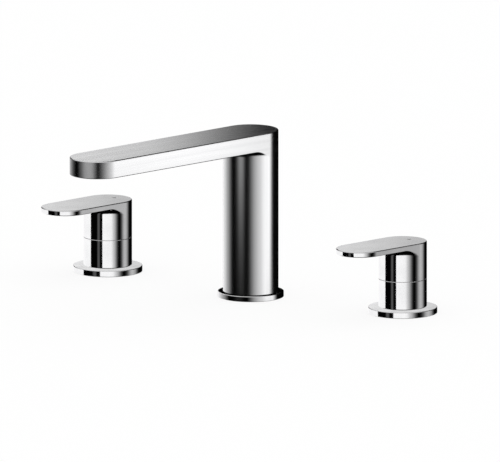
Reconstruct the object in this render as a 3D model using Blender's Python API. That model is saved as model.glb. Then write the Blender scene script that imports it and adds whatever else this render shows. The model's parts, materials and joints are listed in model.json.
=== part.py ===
"""Deck-mounted bath filler: a swivel spout on a threaded post, and two quarter-turn lever valves.

The frame's origin is the centre of the spout's hole, on the top of the deck. +Z is up, -Y is the way
that the spout and both levers point at rest, and +X is the user's right. Lengths are in metres and
angles in degrees.
"""

import math

import bmesh
import bpy

# Round stretches, and how meshes are finished
OUTER_STEPS = 36
INNER_STEPS = 18
SMALL_STEPS = 12
FILLET_STEPS = 4
SEAL_STEPS = 6
HEX_SIDES = 6
MERGE_DISTANCE = 1e-7
SHARP_ANGLE = 35.0

# Directions about an upright axis
RIGHT_ANGLE = 0.0
BACK_ANGLE = 90.0
LEFT_ANGLE = 180.0

# Play shared by the whole set
CONTACT_GAP = 0.0003
RUNNING_GAP = 0.0003
CUT_OVERRUN = 0.0010
EDGE_BREAK = 0.0005

# Deck and the clamp below it
DECK_THICKNESS = 0.020
DECK_SEAL_THICKNESS = 0.0010
DECK_SEAL_INSET = 0.0010
SHANK_BELOW_DECK = 0.042
TAIL_DIAMETER = 0.0208
TAIL_LENGTH = 0.012
CLAMP_SEAL_WIDTH = 0.0087
CLAMP_SEAL_THICKNESS = 0.0020
CLAMP_WASHER_WIDTH = 0.0077
CLAMP_WASHER_THICKNESS = 0.0020
LOCK_NUT_WALL = 0.0047
LOCK_NUT_THICKNESS = 0.008

# Spout
COLUMN_DIAMETER = 0.048
SPOUT_HEIGHT = 0.147
SPOUT_REACH = 0.183
ARM_THICKNESS = 0.0155
ARM_FILLET = 0.0050
SPOUT_WALL = 0.0030
BASE_RING_MARGIN = 0.0046
BASE_RING_THICKNESS = 0.0037

# Post inside the column
SOCKET_WALL = 0.0069
POST_WALL = 0.0055
POST_SHANK_STEP = 0.0025
POST_TAIL_WALL = 0.0024
SHOULDER_THICKNESS = 0.0040
SHOULDER_CLEARANCE = 0.0020
SWIVEL_WASHER_THICKNESS = 0.0010
SWIVEL_WASHER_INSET = 0.0005
SOCKET_LENGTH = 0.046
PILLAR_RISE = 0.0040
SEAL_SECTION = 0.0021
POST_SEAL_HEIGHT_SHARES = (0.45, 0.82)
LIMIT_HEIGHT_SHARE = 0.20
SOCKET_SEAL_HEIGHT_SHARE = 0.90

# Swivel stop: a screw through the back of the column, in a part-round groove of the post
SWIVEL_LIMIT = 60.0
LIMIT_SCREW_DIAMETER = 0.0040
LIMIT_GROOVE_DEPTH = 0.0025
SCREW_RECESS = 0.0006
SCREW_KEY_DIAMETER = 0.0020
SCREW_KEY_DEPTH = 0.0015

# Outlet under the tip of the arm
AERATOR_DIAMETER = 0.024
AERATOR_LENGTH = 0.0058
AERATOR_BORE_DIAMETER = 0.0204
AERATOR_LIP = 0.0010
AERATOR_SEAL_THICKNESS = 0.0010
AERATOR_SEAL_WIDTH = 0.0024
OUTLET_BOSS_WALL = 0.0024
OUTLET_LEDGE_THICKNESS = 0.0012
INSERT_THICKNESS = 0.0030
INSERT_HOLE_DIAMETER = 0.0022
INSERT_RING_SHARES = (0.0, 0.36, 0.72)
INSERT_RING_COUNTS = (1, 6, 12)

# Tee under the post
TEE_WALL = 0.0033
TEE_SEAL_THICKNESS = 0.0015
TEE_SEAT_LAND = 0.0015
TEE_FLOOR = 0.0060
TEE_NIPPLE_WALL = 0.0029
TEE_NIPPLE_LENGTH = 0.020

# Side valves: hot at the user's left, cold at the user's right
HOT_VALVE_X = -0.1693
HOT_VALVE_Y = -0.0099
COLD_VALVE_X = 0.1450
COLD_VALVE_Y = 0.0435
FLANGE_DIAMETER = 0.060
FLANGE_THICKNESS = 0.0042
HUB_DIAMETER = 0.0420
SLEEVE_HEIGHT = 0.0247
SLEEVE_WALL = 0.0018
SLEEVE_CLEARANCE = 0.0032
SLEEVE_WEB = 0.0022

# Lever
HUB_HEIGHT = 0.0327
HUB_WALL = 0.0022
HUB_ROOF = 0.0070
LEVER_REACH = 0.0507
LEVER_THICKNESS = 0.0047
LEVER_FILLET = 0.0058
BOSS_WALL = 0.0057
BOSS_CLEARANCE = 0.0010
ADAPTOR_WALL = 0.0027
ADAPTOR_TOOTH_DEPTH = 0.0005
ADAPTOR_LENGTH = 0.0110
LEVER_TURN = 90.0
LEVER_SCREW_DIAMETER = 0.0040
LEVER_SCREW_LENGTH = 0.0050
INDEX_DIAMETER = 0.0044
INDEX_DEPTH = 0.0014
INDEX_SETBACK = 0.0080

# Cartridge
THREAD_LENGTH = 0.0070
HEX_LAND = 0.0009
HEX_THICKNESS = 0.0029
NECK_WALL = 0.0032
NECK_RISE = 0.0055
SPINDLE_DIAMETER = 0.0080
BARREL_STEP = 0.0020
BARREL_WALL = 0.0019
WINDOW_HEIGHT = 0.0038
WINDOW_WIDTH = 0.0080
WINDOW_LAND = 0.0006
DISC_THICKNESS = 0.0030
DISC_PORT_SHARES = (0.40, 0.78)
DISC_PORT_SWEEP = 80.0
KEY_MARGIN = 0.0024
KEY_WIDTH = 0.0040
KEY_DEPTH = 0.0012
KEY_RISE = 0.0025
KEY_OVERLAP_SHARE = 0.4
CARTRIDGE_SEAL_SECTION = 0.0016
CARTRIDGE_SEAL_HEIGHT_SHARE = 0.60
SPINDLE_SEAL_SECTION = 0.0011
SPINDLE_SEAL_HEIGHT_SHARE = 0.55
CLIP_THICKNESS = 0.0008
CLIP_GROOVE_DEPTH = 0.0010
CLIP_WIDTH = 0.0022
CLIP_SWEEP = 300.0

# Valve body below the cartridge
SEAT_SEAL_THICKNESS = 0.0020
SEAT_MOUTH_DEPTH = 0.0020
SEAT_STEP = 0.0013
VALVE_WALL = 0.0031
RETURN_MARGIN = 0.0006
RETURN_SWEEP = 100.0
OUTLET_DIAMETER = 0.0165
OUTLET_WALL = 0.0032
OUTLET_LENGTH = 0.016
OUTLET_LAND = 0.0020

# Radii of the spout, from the column's skin inwards
COLUMN_RADIUS = COLUMN_DIAMETER / 2
CAVITY_RADIUS = COLUMN_RADIUS - SPOUT_WALL
SOCKET_RADIUS = CAVITY_RADIUS - CONTACT_GAP
POST_RADIUS = SOCKET_RADIUS - SOCKET_WALL - RUNNING_GAP
POST_BORE_RADIUS = POST_RADIUS - POST_WALL
POST_SHANK_RADIUS = POST_RADIUS + POST_SHANK_STEP
POST_TAIL_RADIUS = POST_BORE_RADIUS + POST_TAIL_WALL
SHOULDER_RADIUS = CAVITY_RADIUS - SHOULDER_CLEARANCE
BASE_RING_RADIUS = COLUMN_RADIUS + BASE_RING_MARGIN
LIMIT_SCREW_RADIUS = LIMIT_SCREW_DIAMETER / 2
AERATOR_RADIUS = AERATOR_DIAMETER / 2
OUTLET_MOUTH_RADIUS = AERATOR_RADIUS + CONTACT_GAP

# Radii of a valve, from the sleeve's skin inwards
FLANGE_RADIUS = FLANGE_DIAMETER / 2
HUB_RADIUS = HUB_DIAMETER / 2
SLEEVE_BORE_RADIUS = HUB_RADIUS - SLEEVE_WALL
SHANK_RADIUS = SLEEVE_BORE_RADIUS - SLEEVE_CLEARANCE
CHAMBER_RADIUS = SHANK_RADIUS - VALVE_WALL
THREAD_RADIUS = CHAMBER_RADIUS - CONTACT_GAP
BARREL_RADIUS = THREAD_RADIUS - BARREL_STEP
BARREL_BORE_RADIUS = BARREL_RADIUS - BARREL_WALL
DISC_RADIUS = BARREL_BORE_RADIUS - RUNNING_GAP
SEAT_SEAL_INNER = DISC_RADIUS * DISC_PORT_SHARES[1] + CONTACT_GAP
INLET_BORE_RADIUS = SEAT_SEAL_INNER - SEAT_STEP
OUTLET_RADIUS = OUTLET_DIAMETER / 2
OUTLET_BORE_RADIUS = OUTLET_RADIUS - OUTLET_WALL

# Radii of what turns in a valve, from the spindle outwards
SPINDLE_RADIUS = SPINDLE_DIAMETER / 2
SPINDLE_BORE_RADIUS = SPINDLE_RADIUS + RUNNING_GAP
NECK_RADIUS = SPINDLE_BORE_RADIUS + NECK_WALL
ADAPTOR_RADIUS = SPINDLE_RADIUS + CONTACT_GAP + ADAPTOR_WALL
LEVER_SCREW_RADIUS = LEVER_SCREW_DIAMETER / 2

# Radii below the deck
TAIL_RADIUS = TAIL_DIAMETER / 2
TEE_SOCKET_RADIUS = POST_TAIL_RADIUS + CONTACT_GAP
TEE_RADIUS = TEE_SOCKET_RADIUS + TEE_WALL
TEE_NIPPLE_BORE_RADIUS = TAIL_RADIUS - TEE_NIPPLE_WALL

# Heights below the deck
CLAMP_WASHER_TOP = -DECK_THICKNESS - CLAMP_SEAL_THICKNESS - CONTACT_GAP
LOCK_NUT_TOP = CLAMP_WASHER_TOP - CLAMP_WASHER_THICKNESS - CONTACT_GAP
SHANK_FOOT = -DECK_THICKNESS - SHANK_BELOW_DECK
TAIL_FOOT = SHANK_FOOT - TAIL_LENGTH
TEE_TOP = SHANK_FOOT - CONTACT_GAP
TEE_SEAL_TOP = TAIL_FOOT - CONTACT_GAP
TEE_SEAT = TEE_SEAL_TOP - TEE_SEAL_THICKNESS - CONTACT_GAP
TEE_CENTRE = TEE_SEAT - TEE_SEAT_LAND - TEE_NIPPLE_BORE_RADIUS

# Heights of the spout's stack
BASE_RING_FOOT = DECK_SEAL_THICKNESS + CONTACT_GAP
BASE_RING_TOP = BASE_RING_FOOT + BASE_RING_THICKNESS
SPOUT_FOOT = BASE_RING_TOP + RUNNING_GAP
SHOULDER_TOP = SPOUT_FOOT + SHOULDER_THICKNESS
SWIVEL_WASHER_FOOT = SHOULDER_TOP + CONTACT_GAP
SWIVEL_WASHER_TOP = SWIVEL_WASHER_FOOT + SWIVEL_WASHER_THICKNESS
SOCKET_FOOT = SWIVEL_WASHER_TOP + RUNNING_GAP
SOCKET_TOP = SOCKET_FOOT + SOCKET_LENGTH
PILLAR_TOP = SOCKET_TOP + PILLAR_RISE
LIMIT_HEIGHT = SOCKET_FOOT + SOCKET_LENGTH * LIMIT_HEIGHT_SHARE
ARM_UNDERSIDE = SPOUT_HEIGHT - ARM_THICKNESS
CHANNEL_FLOOR = ARM_UNDERSIDE + SPOUT_WALL

# Heights of the outlet's stack, from its mouth up
AERATOR_FOOT = ARM_UNDERSIDE + CONTACT_GAP
AERATOR_TOP = AERATOR_FOOT + AERATOR_LENGTH
AERATOR_SEAL_FOOT = AERATOR_TOP + CONTACT_GAP
OUTLET_LEDGE = AERATOR_SEAL_FOOT + AERATOR_SEAL_THICKNESS + CONTACT_GAP
OUTLET_BOSS_TOP = OUTLET_LEDGE + OUTLET_LEDGE_THICKNESS
INSERT_FOOT = AERATOR_FOOT + AERATOR_LIP + CONTACT_GAP

# Heights of a valve's stack, from the deck up and then from the sleeve's web down
FLANGE_FOOT = DECK_SEAL_THICKNESS + CONTACT_GAP
FLANGE_TOP = FLANGE_FOOT + FLANGE_THICKNESS
SLEEVE_FOOT = FLANGE_TOP + CONTACT_GAP
SLEEVE_TOP = SLEEVE_FOOT + SLEEVE_HEIGHT
HUB_FOOT = SLEEVE_TOP + RUNNING_GAP
LEVER_TOP = HUB_FOOT + HUB_HEIGHT
WEB_UNDERSIDE = SLEEVE_TOP - SLEEVE_WEB
HEX_TOP = WEB_UNDERSIDE - CONTACT_GAP
HEX_FOOT = HEX_TOP - HEX_THICKNESS
VALVE_TOP = HEX_FOOT - CONTACT_GAP
THREAD_FOOT = VALVE_TOP - THREAD_LENGTH
WINDOW_TOP = THREAD_FOOT - WINDOW_LAND
WINDOW_FOOT = WINDOW_TOP - WINDOW_HEIGHT
MOVING_DISC_TOP = WINDOW_FOOT - WINDOW_LAND
MOVING_DISC_FOOT = MOVING_DISC_TOP - DISC_THICKNESS
FIXED_DISC_TOP = MOVING_DISC_FOOT - RUNNING_GAP
FIXED_DISC_FOOT = FIXED_DISC_TOP - DISC_THICKNESS
SEAT_SEAL_TOP = FIXED_DISC_FOOT - CONTACT_GAP
SEAT_SEAL_FOOT = SEAT_SEAL_TOP - SEAT_SEAL_THICKNESS
CHAMBER_FLOOR = SEAT_SEAL_FOOT - CONTACT_GAP
NECK_TOP = SLEEVE_TOP + NECK_RISE
CLIP_FOOT = NECK_TOP + CONTACT_GAP
CLIP_TOP = CLIP_FOOT + CLIP_THICKNESS
BOSS_FOOT = CLIP_TOP + BOSS_CLEARANCE
ADAPTOR_FOOT = BOSS_FOOT + CONTACT_GAP
ADAPTOR_TOP = ADAPTOR_FOOT + ADAPTOR_LENGTH
SPINDLE_TOP = ADAPTOR_TOP - CONTACT_GAP
OUTLET_CENTRE = SHANK_FOOT + OUTLET_LAND + OUTLET_RADIUS

# Finishes: base colour, metallic, roughness
FINISHES = {
    "polished_chrome": ((0.78, 0.78, 0.79), 1.0, 0.06),
    "brushed_chrome": ((0.72, 0.72, 0.73), 1.0, 0.24),
    "cast_brass": ((0.74, 0.58, 0.30), 1.0, 0.32),
    "stainless_steel": ((0.60, 0.60, 0.61), 1.0, 0.35),
    "black_rubber": ((0.03, 0.03, 0.03), 0.0, 0.70),
    "white_acetal": ((0.82, 0.82, 0.80), 0.0, 0.45),
    "grey_ceramic": ((0.70, 0.70, 0.68), 0.0, 0.20),
    "index_enamel": ((0.22, 0.22, 0.23), 0.0, 0.30),
}


def clear_scene():
    for obj in list(bpy.data.objects):
        bpy.data.objects.remove(obj, do_unlink=True)


def finish_material(finish):
    material = bpy.data.materials.get(finish)
    if material:
        return material
    colour, metallic, roughness = FINISHES[finish]
    material = bpy.data.materials.new(finish)
    material.use_nodes = True
    shader = material.node_tree.nodes["Principled BSDF"]
    shader.inputs["Base Color"].default_value = (*colour, 1.0)
    shader.inputs["Metallic"].default_value = metallic
    shader.inputs["Roughness"].default_value = roughness
    return material


def axis_empty(name, x, y, z):
    empty = bpy.data.objects.new(name, None)
    empty.location = (x, y, z)
    bpy.context.scene.collection.objects.link(empty)
    return empty


def mesh_object(name, bm, parent):
    bmesh.ops.remove_doubles(bm, verts=bm.verts, dist=MERGE_DISTANCE)
    bmesh.ops.recalc_face_normals(bm, faces=bm.faces)
    mesh = bpy.data.meshes.new(name)
    bm.to_mesh(mesh)
    bm.free()
    obj = bpy.data.objects.new(name, mesh)
    obj.parent = parent
    bpy.context.scene.collection.objects.link(obj)
    return obj


def piece(name, bm, finish, parent):
    obj = mesh_object(name, bm, parent)
    obj.data.materials.append(finish_material(finish))
    obj.data.shade_smooth()
    obj.data.set_sharp_from_angle(angle=math.radians(SHARP_ANGLE))
    return obj


def boolean(target, bm, operation, parent):
    tool = mesh_object(f"{target.name}_{operation.lower()}_{len(target.modifiers)}", bm, parent)
    tool.hide_render = True
    tool.display_type = "WIRE"
    modifier = target.modifiers.new(operation.title(), "BOOLEAN")
    modifier.operation = operation
    modifier.solver = "EXACT"
    modifier.object = tool


def cut(target, bm, parent):
    boolean(target, bm, "DIFFERENCE", parent)


def join(target, bm, parent):
    boolean(target, bm, "UNION", parent)


def bridge(bm, lower, upper, closed=True):
    """Side faces between two rows of points with the same count."""
    count = len(lower)
    for i in range(count if closed else count - 1):
        j = (i + 1) % count
        bm.faces.new((lower[i], lower[j], upper[j], upper[i]))


def turned_ring(bm, radius, height, steps, shape=None):
    points = []
    for i in range(steps):
        angle = math.tau * i / steps
        reach = shape(radius, i, steps) if shape else radius
        points.append(bm.verts.new((reach * math.cos(angle), reach * math.sin(angle), height)))
    return points


def hexagon(apothem, i, steps):
    """Distance from the centre to a hexagon's side at step i of a turn."""
    sector = math.tau / HEX_SIDES
    angle = (math.tau * i / steps) % sector - sector / 2
    return apothem / math.cos(angle)


def toothed(radius, i, steps):
    return radius if i % 2 == 0 else radius - ADAPTOR_TOOTH_DEPTH


def turned_tube(profile, steps=INNER_STEPS):
    """Turn a closed outline of (radius, height) or (radius, height, shape) about the axis."""
    bm = bmesh.new()
    rings = [turned_ring(bm, p[0], p[1], steps, *p[2:]) for p in profile]
    for lower, upper in zip(rings, rings[1:] + rings[:1]):
        bridge(bm, lower, upper)
    return bm


def turned_solid(profile, steps=INNER_STEPS):
    """Turn an open outline whose two ends are closed by flat discs."""
    bm = bmesh.new()
    rings = [turned_ring(bm, p[0], p[1], steps, *p[2:]) for p in profile]
    for lower, upper in zip(rings, rings[1:]):
        bridge(bm, lower, upper)
    bm.faces.new(rings[0])
    bm.faces.new(rings[-1])
    return bm


def around(radius, steps=INNER_STEPS):
    """Corner radius of a many-sided bore whose flats stand at the radius given."""
    return radius / math.cos(math.pi / steps)


def washer(inner, outer, foot, top, steps=INNER_STEPS):
    return turned_tube(((inner, foot), (outer, foot), (outer, top), (inner, top)), steps)


def seal_ring(centre_radius, height, section, steps=INNER_STEPS):
    """O-ring of a round section."""
    profile = []
    for i in range(SEAL_STEPS):
        angle = math.tau * i / SEAL_STEPS
        radius = centre_radius + section / 2 * math.cos(angle)
        profile.append((radius, height + section / 2 * math.sin(angle)))
    return turned_tube(profile, steps)


def groove(floor_radius, outer_radius, height, width):
    """Four profile points of a square groove, from its lower edge up."""
    low = height - width / 2
    high = height + width / 2
    return ((outer_radius, low), (floor_radius, low), (floor_radius, high), (outer_radius, high))


def side_rod(radius, start, end, height, along, steps=INNER_STEPS):
    """Round bar along X or Y at a height, from start to end."""
    bm = bmesh.new()
    rings = []
    for place in (start, end):
        ring = []
        for i in range(steps):
            angle = math.tau * i / steps
            across = radius * math.cos(angle)
            up = height + radius * math.sin(angle)
            point = (place, across, up) if along == "X" else (across, place, up)
            ring.append(bm.verts.new(point))
        rings.append(ring)
    bridge(bm, rings[0], rings[1])
    bm.faces.new(rings[0])
    bm.faces.new(rings[1])
    return bm


def part_ring(inner, outer, foot, top, middle, sweep, steps):
    """Part of a square-section ring, centred on the angle called middle."""
    bm = bmesh.new()
    rows = []
    for i in range(steps + 1):
        angle = math.radians(middle - sweep / 2 + sweep * i / steps)
        row = []
        for radius, height in ((inner, foot), (outer, foot), (outer, top), (inner, top)):
            row.append(bm.verts.new((radius * math.cos(angle), radius * math.sin(angle), height)))
        rows.append(row)
    for lower, upper in zip(rows, rows[1:]):
        bridge(bm, lower, upper)
    bm.faces.new(rows[0])
    bm.faces.new(rows[-1])
    return bm


def block(x_reach, y_reach, foot, top):
    """Box centred on the axis."""
    bm = bmesh.new()
    rings = []
    for height in (foot, top):
        corners = ((-x_reach, -y_reach), (x_reach, -y_reach), (x_reach, y_reach), (-x_reach, y_reach))
        rings.append([bm.verts.new((x, y, height)) for x, y in corners])
    bridge(bm, rings[0], rings[1])
    bm.faces.new(rings[0])
    bm.faces.new(rings[1])
    return bm


def arc(bm, radius, centre_y, height, start, end, steps):
    points = []
    for i in range(steps + 1):
        angle = start + (end - start) * i / steps
        x = radius * math.cos(angle)
        points.append(bm.verts.new((x, centre_y + radius * math.sin(angle), height)))
    return points


def arm_on_column(radius, reach, foot, top, thickness, fillet, edge_break, steps):
    """Round column with a flat, round-ended arm of its own width, blended in below by a fillet.

    The arm runs along -Y. Where the fillet's disc is wider than the arm, the arm's flat sides cut it.
    """
    bm = bmesh.new()
    half = steps // 2
    underside = top - thickness
    spring = underside - fillet
    shoulder = top - edge_break

    back_foot = arc(bm, radius, 0, foot, 0, math.pi, half)
    back_spring = arc(bm, radius, 0, spring, 0, math.pi, half)
    back_top = arc(bm, radius, 0, shoulder, 0, math.pi, half)
    front_foot = arc(bm, radius, 0, foot, math.pi, math.tau, half)
    blends = [arc(bm, radius, 0, spring, math.pi, math.tau, half)]
    for i in range(1, FILLET_STEPS + 1):
        turn = math.pi / 2 * i / FILLET_STEPS
        disc = radius + fillet * (1 - math.cos(turn))
        side = math.acos(radius / disc)
        height = spring + fillet * math.sin(turn)
        blends.append(arc(bm, disc, 0, height, math.pi + side, math.tau - side, half))
    tip_foot = arc(bm, radius, -reach, underside, math.pi, math.tau, half)
    tip_top = arc(bm, radius, -reach, shoulder, math.pi, math.tau, half)

    bm.faces.new(back_foot + front_foot)
    bridge(bm, back_foot, back_spring, closed=False)
    bridge(bm, front_foot, blends[0], closed=False)
    bridge(bm, back_spring, back_top, closed=False)
    for lower, upper in zip(blends, blends[1:]):
        bridge(bm, lower, upper, closed=False)
    for end in (0, -1):
        curve = [row[end] for row in blends]
        bm.faces.new(curve + [tip_foot[end], tip_top[end], back_top[-1 - end]])
    bm.faces.new(blends[-1] + tip_foot[::-1])
    bridge(bm, tip_foot, tip_top, closed=False)
    rim = back_top + tip_top
    if edge_break:
        cap_radius = radius - edge_break
        cap = arc(bm, cap_radius, 0, top, 0, math.pi, half)
        cap += arc(bm, cap_radius, -reach, top, math.pi, math.tau, half)
        bridge(bm, rim, cap)
        rim = cap
    bm.faces.new(rim)
    return bm


def clamp_pieces(prefix, shank_radius, parent):
    """Rubber seal, steel washer and lock nut that hold a shank against the deck from below."""
    inner = shank_radius + CONTACT_GAP
    foot = -DECK_THICKNESS - CLAMP_SEAL_THICKNESS
    ring = washer(inner, inner + CLAMP_SEAL_WIDTH, foot, -DECK_THICKNESS)
    piece(f"{prefix}_clamp_seal", ring, "black_rubber", parent)
    foot = CLAMP_WASHER_TOP - CLAMP_WASHER_THICKNESS
    ring = washer(inner, inner + CLAMP_WASHER_WIDTH, foot, CLAMP_WASHER_TOP)
    piece(f"{prefix}_clamp_washer", ring, "stainless_steel", parent)
    apothem = inner + LOCK_NUT_WALL
    foot = LOCK_NUT_TOP - LOCK_NUT_THICKNESS
    profile = (
        (inner, foot),
        (apothem, foot, hexagon),
        (apothem, LOCK_NUT_TOP, hexagon),
        (inner, LOCK_NUT_TOP),
    )
    piece(f"{prefix}_lock_nut", turned_tube(profile), "cast_brass", parent)


def spout_deck_pieces(parent):
    inner = POST_SHANK_RADIUS + CONTACT_GAP
    outer = BASE_RING_RADIUS - DECK_SEAL_INSET
    seal = washer(inner, outer, 0, DECK_SEAL_THICKNESS, OUTER_STEPS)
    piece("spout_deck_seal", seal, "black_rubber", parent)
    profile = (
        (inner, BASE_RING_FOOT),
        (BASE_RING_RADIUS, BASE_RING_FOOT),
        (BASE_RING_RADIUS, BASE_RING_TOP - EDGE_BREAK),
        (BASE_RING_RADIUS - EDGE_BREAK, BASE_RING_TOP),
        (inner, BASE_RING_TOP),
    )
    piece("spout_base_ring", turned_tube(profile, OUTER_STEPS), "polished_chrome", parent)


def post_seal_radius():
    """Centre radius of an O-ring that seals the post in the socket's bore."""
    return POST_RADIUS + RUNNING_GAP - CONTACT_GAP - SEAL_SECTION / 2


def post_seal_heights():
    return [SOCKET_FOOT + SOCKET_LENGTH * share for share in POST_SEAL_HEIGHT_SHARES]


def spout_post(parent):
    floor_radius = post_seal_radius() - SEAL_SECTION / 2 - CONTACT_GAP
    width = SEAL_SECTION + 2 * CONTACT_GAP
    profile = [
        (POST_BORE_RADIUS, TAIL_FOOT),
        (POST_TAIL_RADIUS, TAIL_FOOT),
        (POST_TAIL_RADIUS, SHANK_FOOT),
        (POST_SHANK_RADIUS, SHANK_FOOT),
        (POST_SHANK_RADIUS, SPOUT_FOOT),
        (SHOULDER_RADIUS, SPOUT_FOOT),
        (SHOULDER_RADIUS, SHOULDER_TOP),
        (POST_RADIUS, SHOULDER_TOP),
    ]
    for height in post_seal_heights():
        profile += groove(floor_radius, POST_RADIUS, height, width)
    profile += [
        (POST_RADIUS, PILLAR_TOP - EDGE_BREAK),
        (POST_RADIUS - EDGE_BREAK, PILLAR_TOP),
        (POST_BORE_RADIUS, PILLAR_TOP),
    ]
    post = piece("spout_post", turned_tube(profile), "cast_brass", parent)

    track = LIMIT_SCREW_RADIUS + CONTACT_GAP
    spread = math.degrees(math.asin(track / (POST_RADIUS - LIMIT_GROOVE_DEPTH)))
    slot = part_ring(
        POST_RADIUS - LIMIT_GROOVE_DEPTH,
        POST_RADIUS + CUT_OVERRUN,
        LIMIT_HEIGHT - track,
        LIMIT_HEIGHT + track,
        BACK_ANGLE,
        2 * (SWIVEL_LIMIT + spread),
        SMALL_STEPS,
    )
    cut(post, slot, parent)


def post_seals(parent):
    for label, height in zip(("lower", "upper"), post_seal_heights()):
        ring = seal_ring(post_seal_radius(), height, SEAL_SECTION)
        piece(f"post_o_ring_{label}", ring, "black_rubber", parent)


def swivel_washer(parent):
    inner = POST_RADIUS + CONTACT_GAP
    outer = SHOULDER_RADIUS - SWIVEL_WASHER_INSET
    ring = washer(inner, outer, SWIVEL_WASHER_FOOT, SWIVEL_WASHER_TOP)
    piece("swivel_washer", ring, "white_acetal", parent)


def swivel_socket(parent):
    """Brass socket in the column's foot, which turns on the post."""
    inner = around(POST_RADIUS + RUNNING_GAP)
    seal_radius = SOCKET_RADIUS - SEAL_SECTION / 2
    floor_radius = seal_radius - SEAL_SECTION / 2 - CONTACT_GAP
    height = SOCKET_FOOT + SOCKET_LENGTH * SOCKET_SEAL_HEIGHT_SHARE
    profile = [(inner, SOCKET_FOOT), (SOCKET_RADIUS, SOCKET_FOOT)]
    profile += groove(floor_radius, SOCKET_RADIUS, height, SEAL_SECTION + 2 * CONTACT_GAP)
    profile += [(SOCKET_RADIUS, SOCKET_TOP), (inner, SOCKET_TOP)]
    socket = piece("swivel_socket", turned_tube(profile), "cast_brass", parent)
    hole = LIMIT_SCREW_RADIUS + CONTACT_GAP
    cut(socket, side_rod(hole, 0, COLUMN_RADIUS, LIMIT_HEIGHT, "Y", SMALL_STEPS), parent)
    ring = seal_ring(seal_radius, height, SEAL_SECTION)
    piece("socket_o_ring", ring, "black_rubber", parent)


def spout_body(parent):
    body = arm_on_column(
        COLUMN_RADIUS,
        SPOUT_REACH,
        SPOUT_FOOT,
        SPOUT_HEIGHT,
        ARM_THICKNESS,
        ARM_FILLET,
        EDGE_BREAK,
        OUTER_STEPS,
    )
    spout = piece("spout_body", body, "brushed_chrome", parent)
    waterway = arm_on_column(
        CAVITY_RADIUS,
        SPOUT_REACH,
        SPOUT_FOOT - CUT_OVERRUN,
        SPOUT_HEIGHT - SPOUT_WALL,
        ARM_THICKNESS - 2 * SPOUT_WALL,
        ARM_FILLET + SPOUT_WALL,
        0,
        INNER_STEPS,
    )
    cut(spout, waterway, parent)

    at_tip = axis_empty("outlet_axis", 0, -SPOUT_REACH, 0)
    at_tip.parent = parent
    bore = OUTLET_MOUTH_RADIUS
    boss = turned_solid(
        (
            (bore + OUTLET_BOSS_WALL, ARM_UNDERSIDE + SPOUT_WALL / 2),
            (bore + OUTLET_BOSS_WALL, OUTLET_BOSS_TOP),
        )
    )
    join(spout, boss, at_tip)
    ledge_radius = AERATOR_RADIUS - AERATOR_SEAL_WIDTH
    mouth = turned_solid(
        (
            (bore, ARM_UNDERSIDE - CUT_OVERRUN),
            (bore, OUTLET_LEDGE),
            (ledge_radius, OUTLET_LEDGE),
            (ledge_radius, OUTLET_BOSS_TOP + CUT_OVERRUN),
        )
    )
    cut(spout, mouth, at_tip)

    hole = LIMIT_SCREW_RADIUS + CONTACT_GAP
    start = CAVITY_RADIUS - SPOUT_WALL
    end = COLUMN_RADIUS + CUT_OVERRUN
    cut(spout, side_rod(hole, start, end, LIMIT_HEIGHT, "Y", SMALL_STEPS), parent)
    return at_tip


def grub_screw(name, tip, head, height, radius, parent):
    """Screw along +Y with a hexagon socket in its outer end."""
    rod = side_rod(radius, tip, head, height, "Y", SMALL_STEPS)
    screw = piece(name, rod, "stainless_steel", parent)
    key = side_rod(
        SCREW_KEY_DIAMETER / 2,
        head - SCREW_KEY_DEPTH,
        head + CUT_OVERRUN,
        height,
        "Y",
        HEX_SIDES,
    )
    cut(screw, key, parent)


def spout_limit_screw(parent):
    tip = POST_RADIUS - LIMIT_GROOVE_DEPTH + CONTACT_GAP
    head = COLUMN_RADIUS - SCREW_RECESS
    grub_screw("spout_limit_screw", tip, head, LIMIT_HEIGHT, LIMIT_SCREW_RADIUS, parent)


def aerator(parent):
    bore = AERATOR_BORE_DIAMETER / 2
    profile = (
        (bore - AERATOR_LIP, AERATOR_FOOT),
        (AERATOR_RADIUS - EDGE_BREAK, AERATOR_FOOT),
        (AERATOR_RADIUS, AERATOR_FOOT + EDGE_BREAK),
        (AERATOR_RADIUS, AERATOR_TOP),
        (bore, AERATOR_TOP),
        (bore, AERATOR_FOOT + AERATOR_LIP),
        (bore - AERATOR_LIP, AERATOR_FOOT + AERATOR_LIP),
    )
    piece("aerator_housing", turned_tube(profile), "polished_chrome", parent)

    seal = washer(
        AERATOR_RADIUS - AERATOR_SEAL_WIDTH,
        AERATOR_RADIUS,
        AERATOR_SEAL_FOOT,
        AERATOR_SEAL_FOOT + AERATOR_SEAL_THICKNESS,
    )
    piece("aerator_seal", seal, "black_rubber", parent)

    radius = bore - CONTACT_GAP
    top = INSERT_FOOT + INSERT_THICKNESS
    disc = turned_solid(((radius, INSERT_FOOT), (radius, top)))
    insert = piece("aerator_insert", disc, "white_acetal", parent)
    holes = bmesh.new()
    for share, count in zip(INSERT_RING_SHARES, INSERT_RING_COUNTS):
        for i in range(count):
            angle = math.tau * i / count
            x = radius * share * math.cos(angle)
            y = radius * share * math.sin(angle)
            add_prism(holes, x, y, INSERT_HOLE_DIAMETER / 2, INSERT_FOOT, top)
    cut(insert, holes, parent)


def add_prism(bm, x, y, radius, foot, top):
    """Six-sided cutter through a plate."""
    rings = []
    for height in (foot - CUT_OVERRUN, top + CUT_OVERRUN):
        ring = []
        for i in range(HEX_SIDES):
            angle = math.tau * i / HEX_SIDES
            point = (x + radius * math.cos(angle), y + radius * math.sin(angle), height)
            ring.append(bm.verts.new(point))
        rings.append(ring)
    bridge(bm, rings[0], rings[1])
    bm.faces.new(rings[0])
    bm.faces.new(rings[1])


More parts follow.
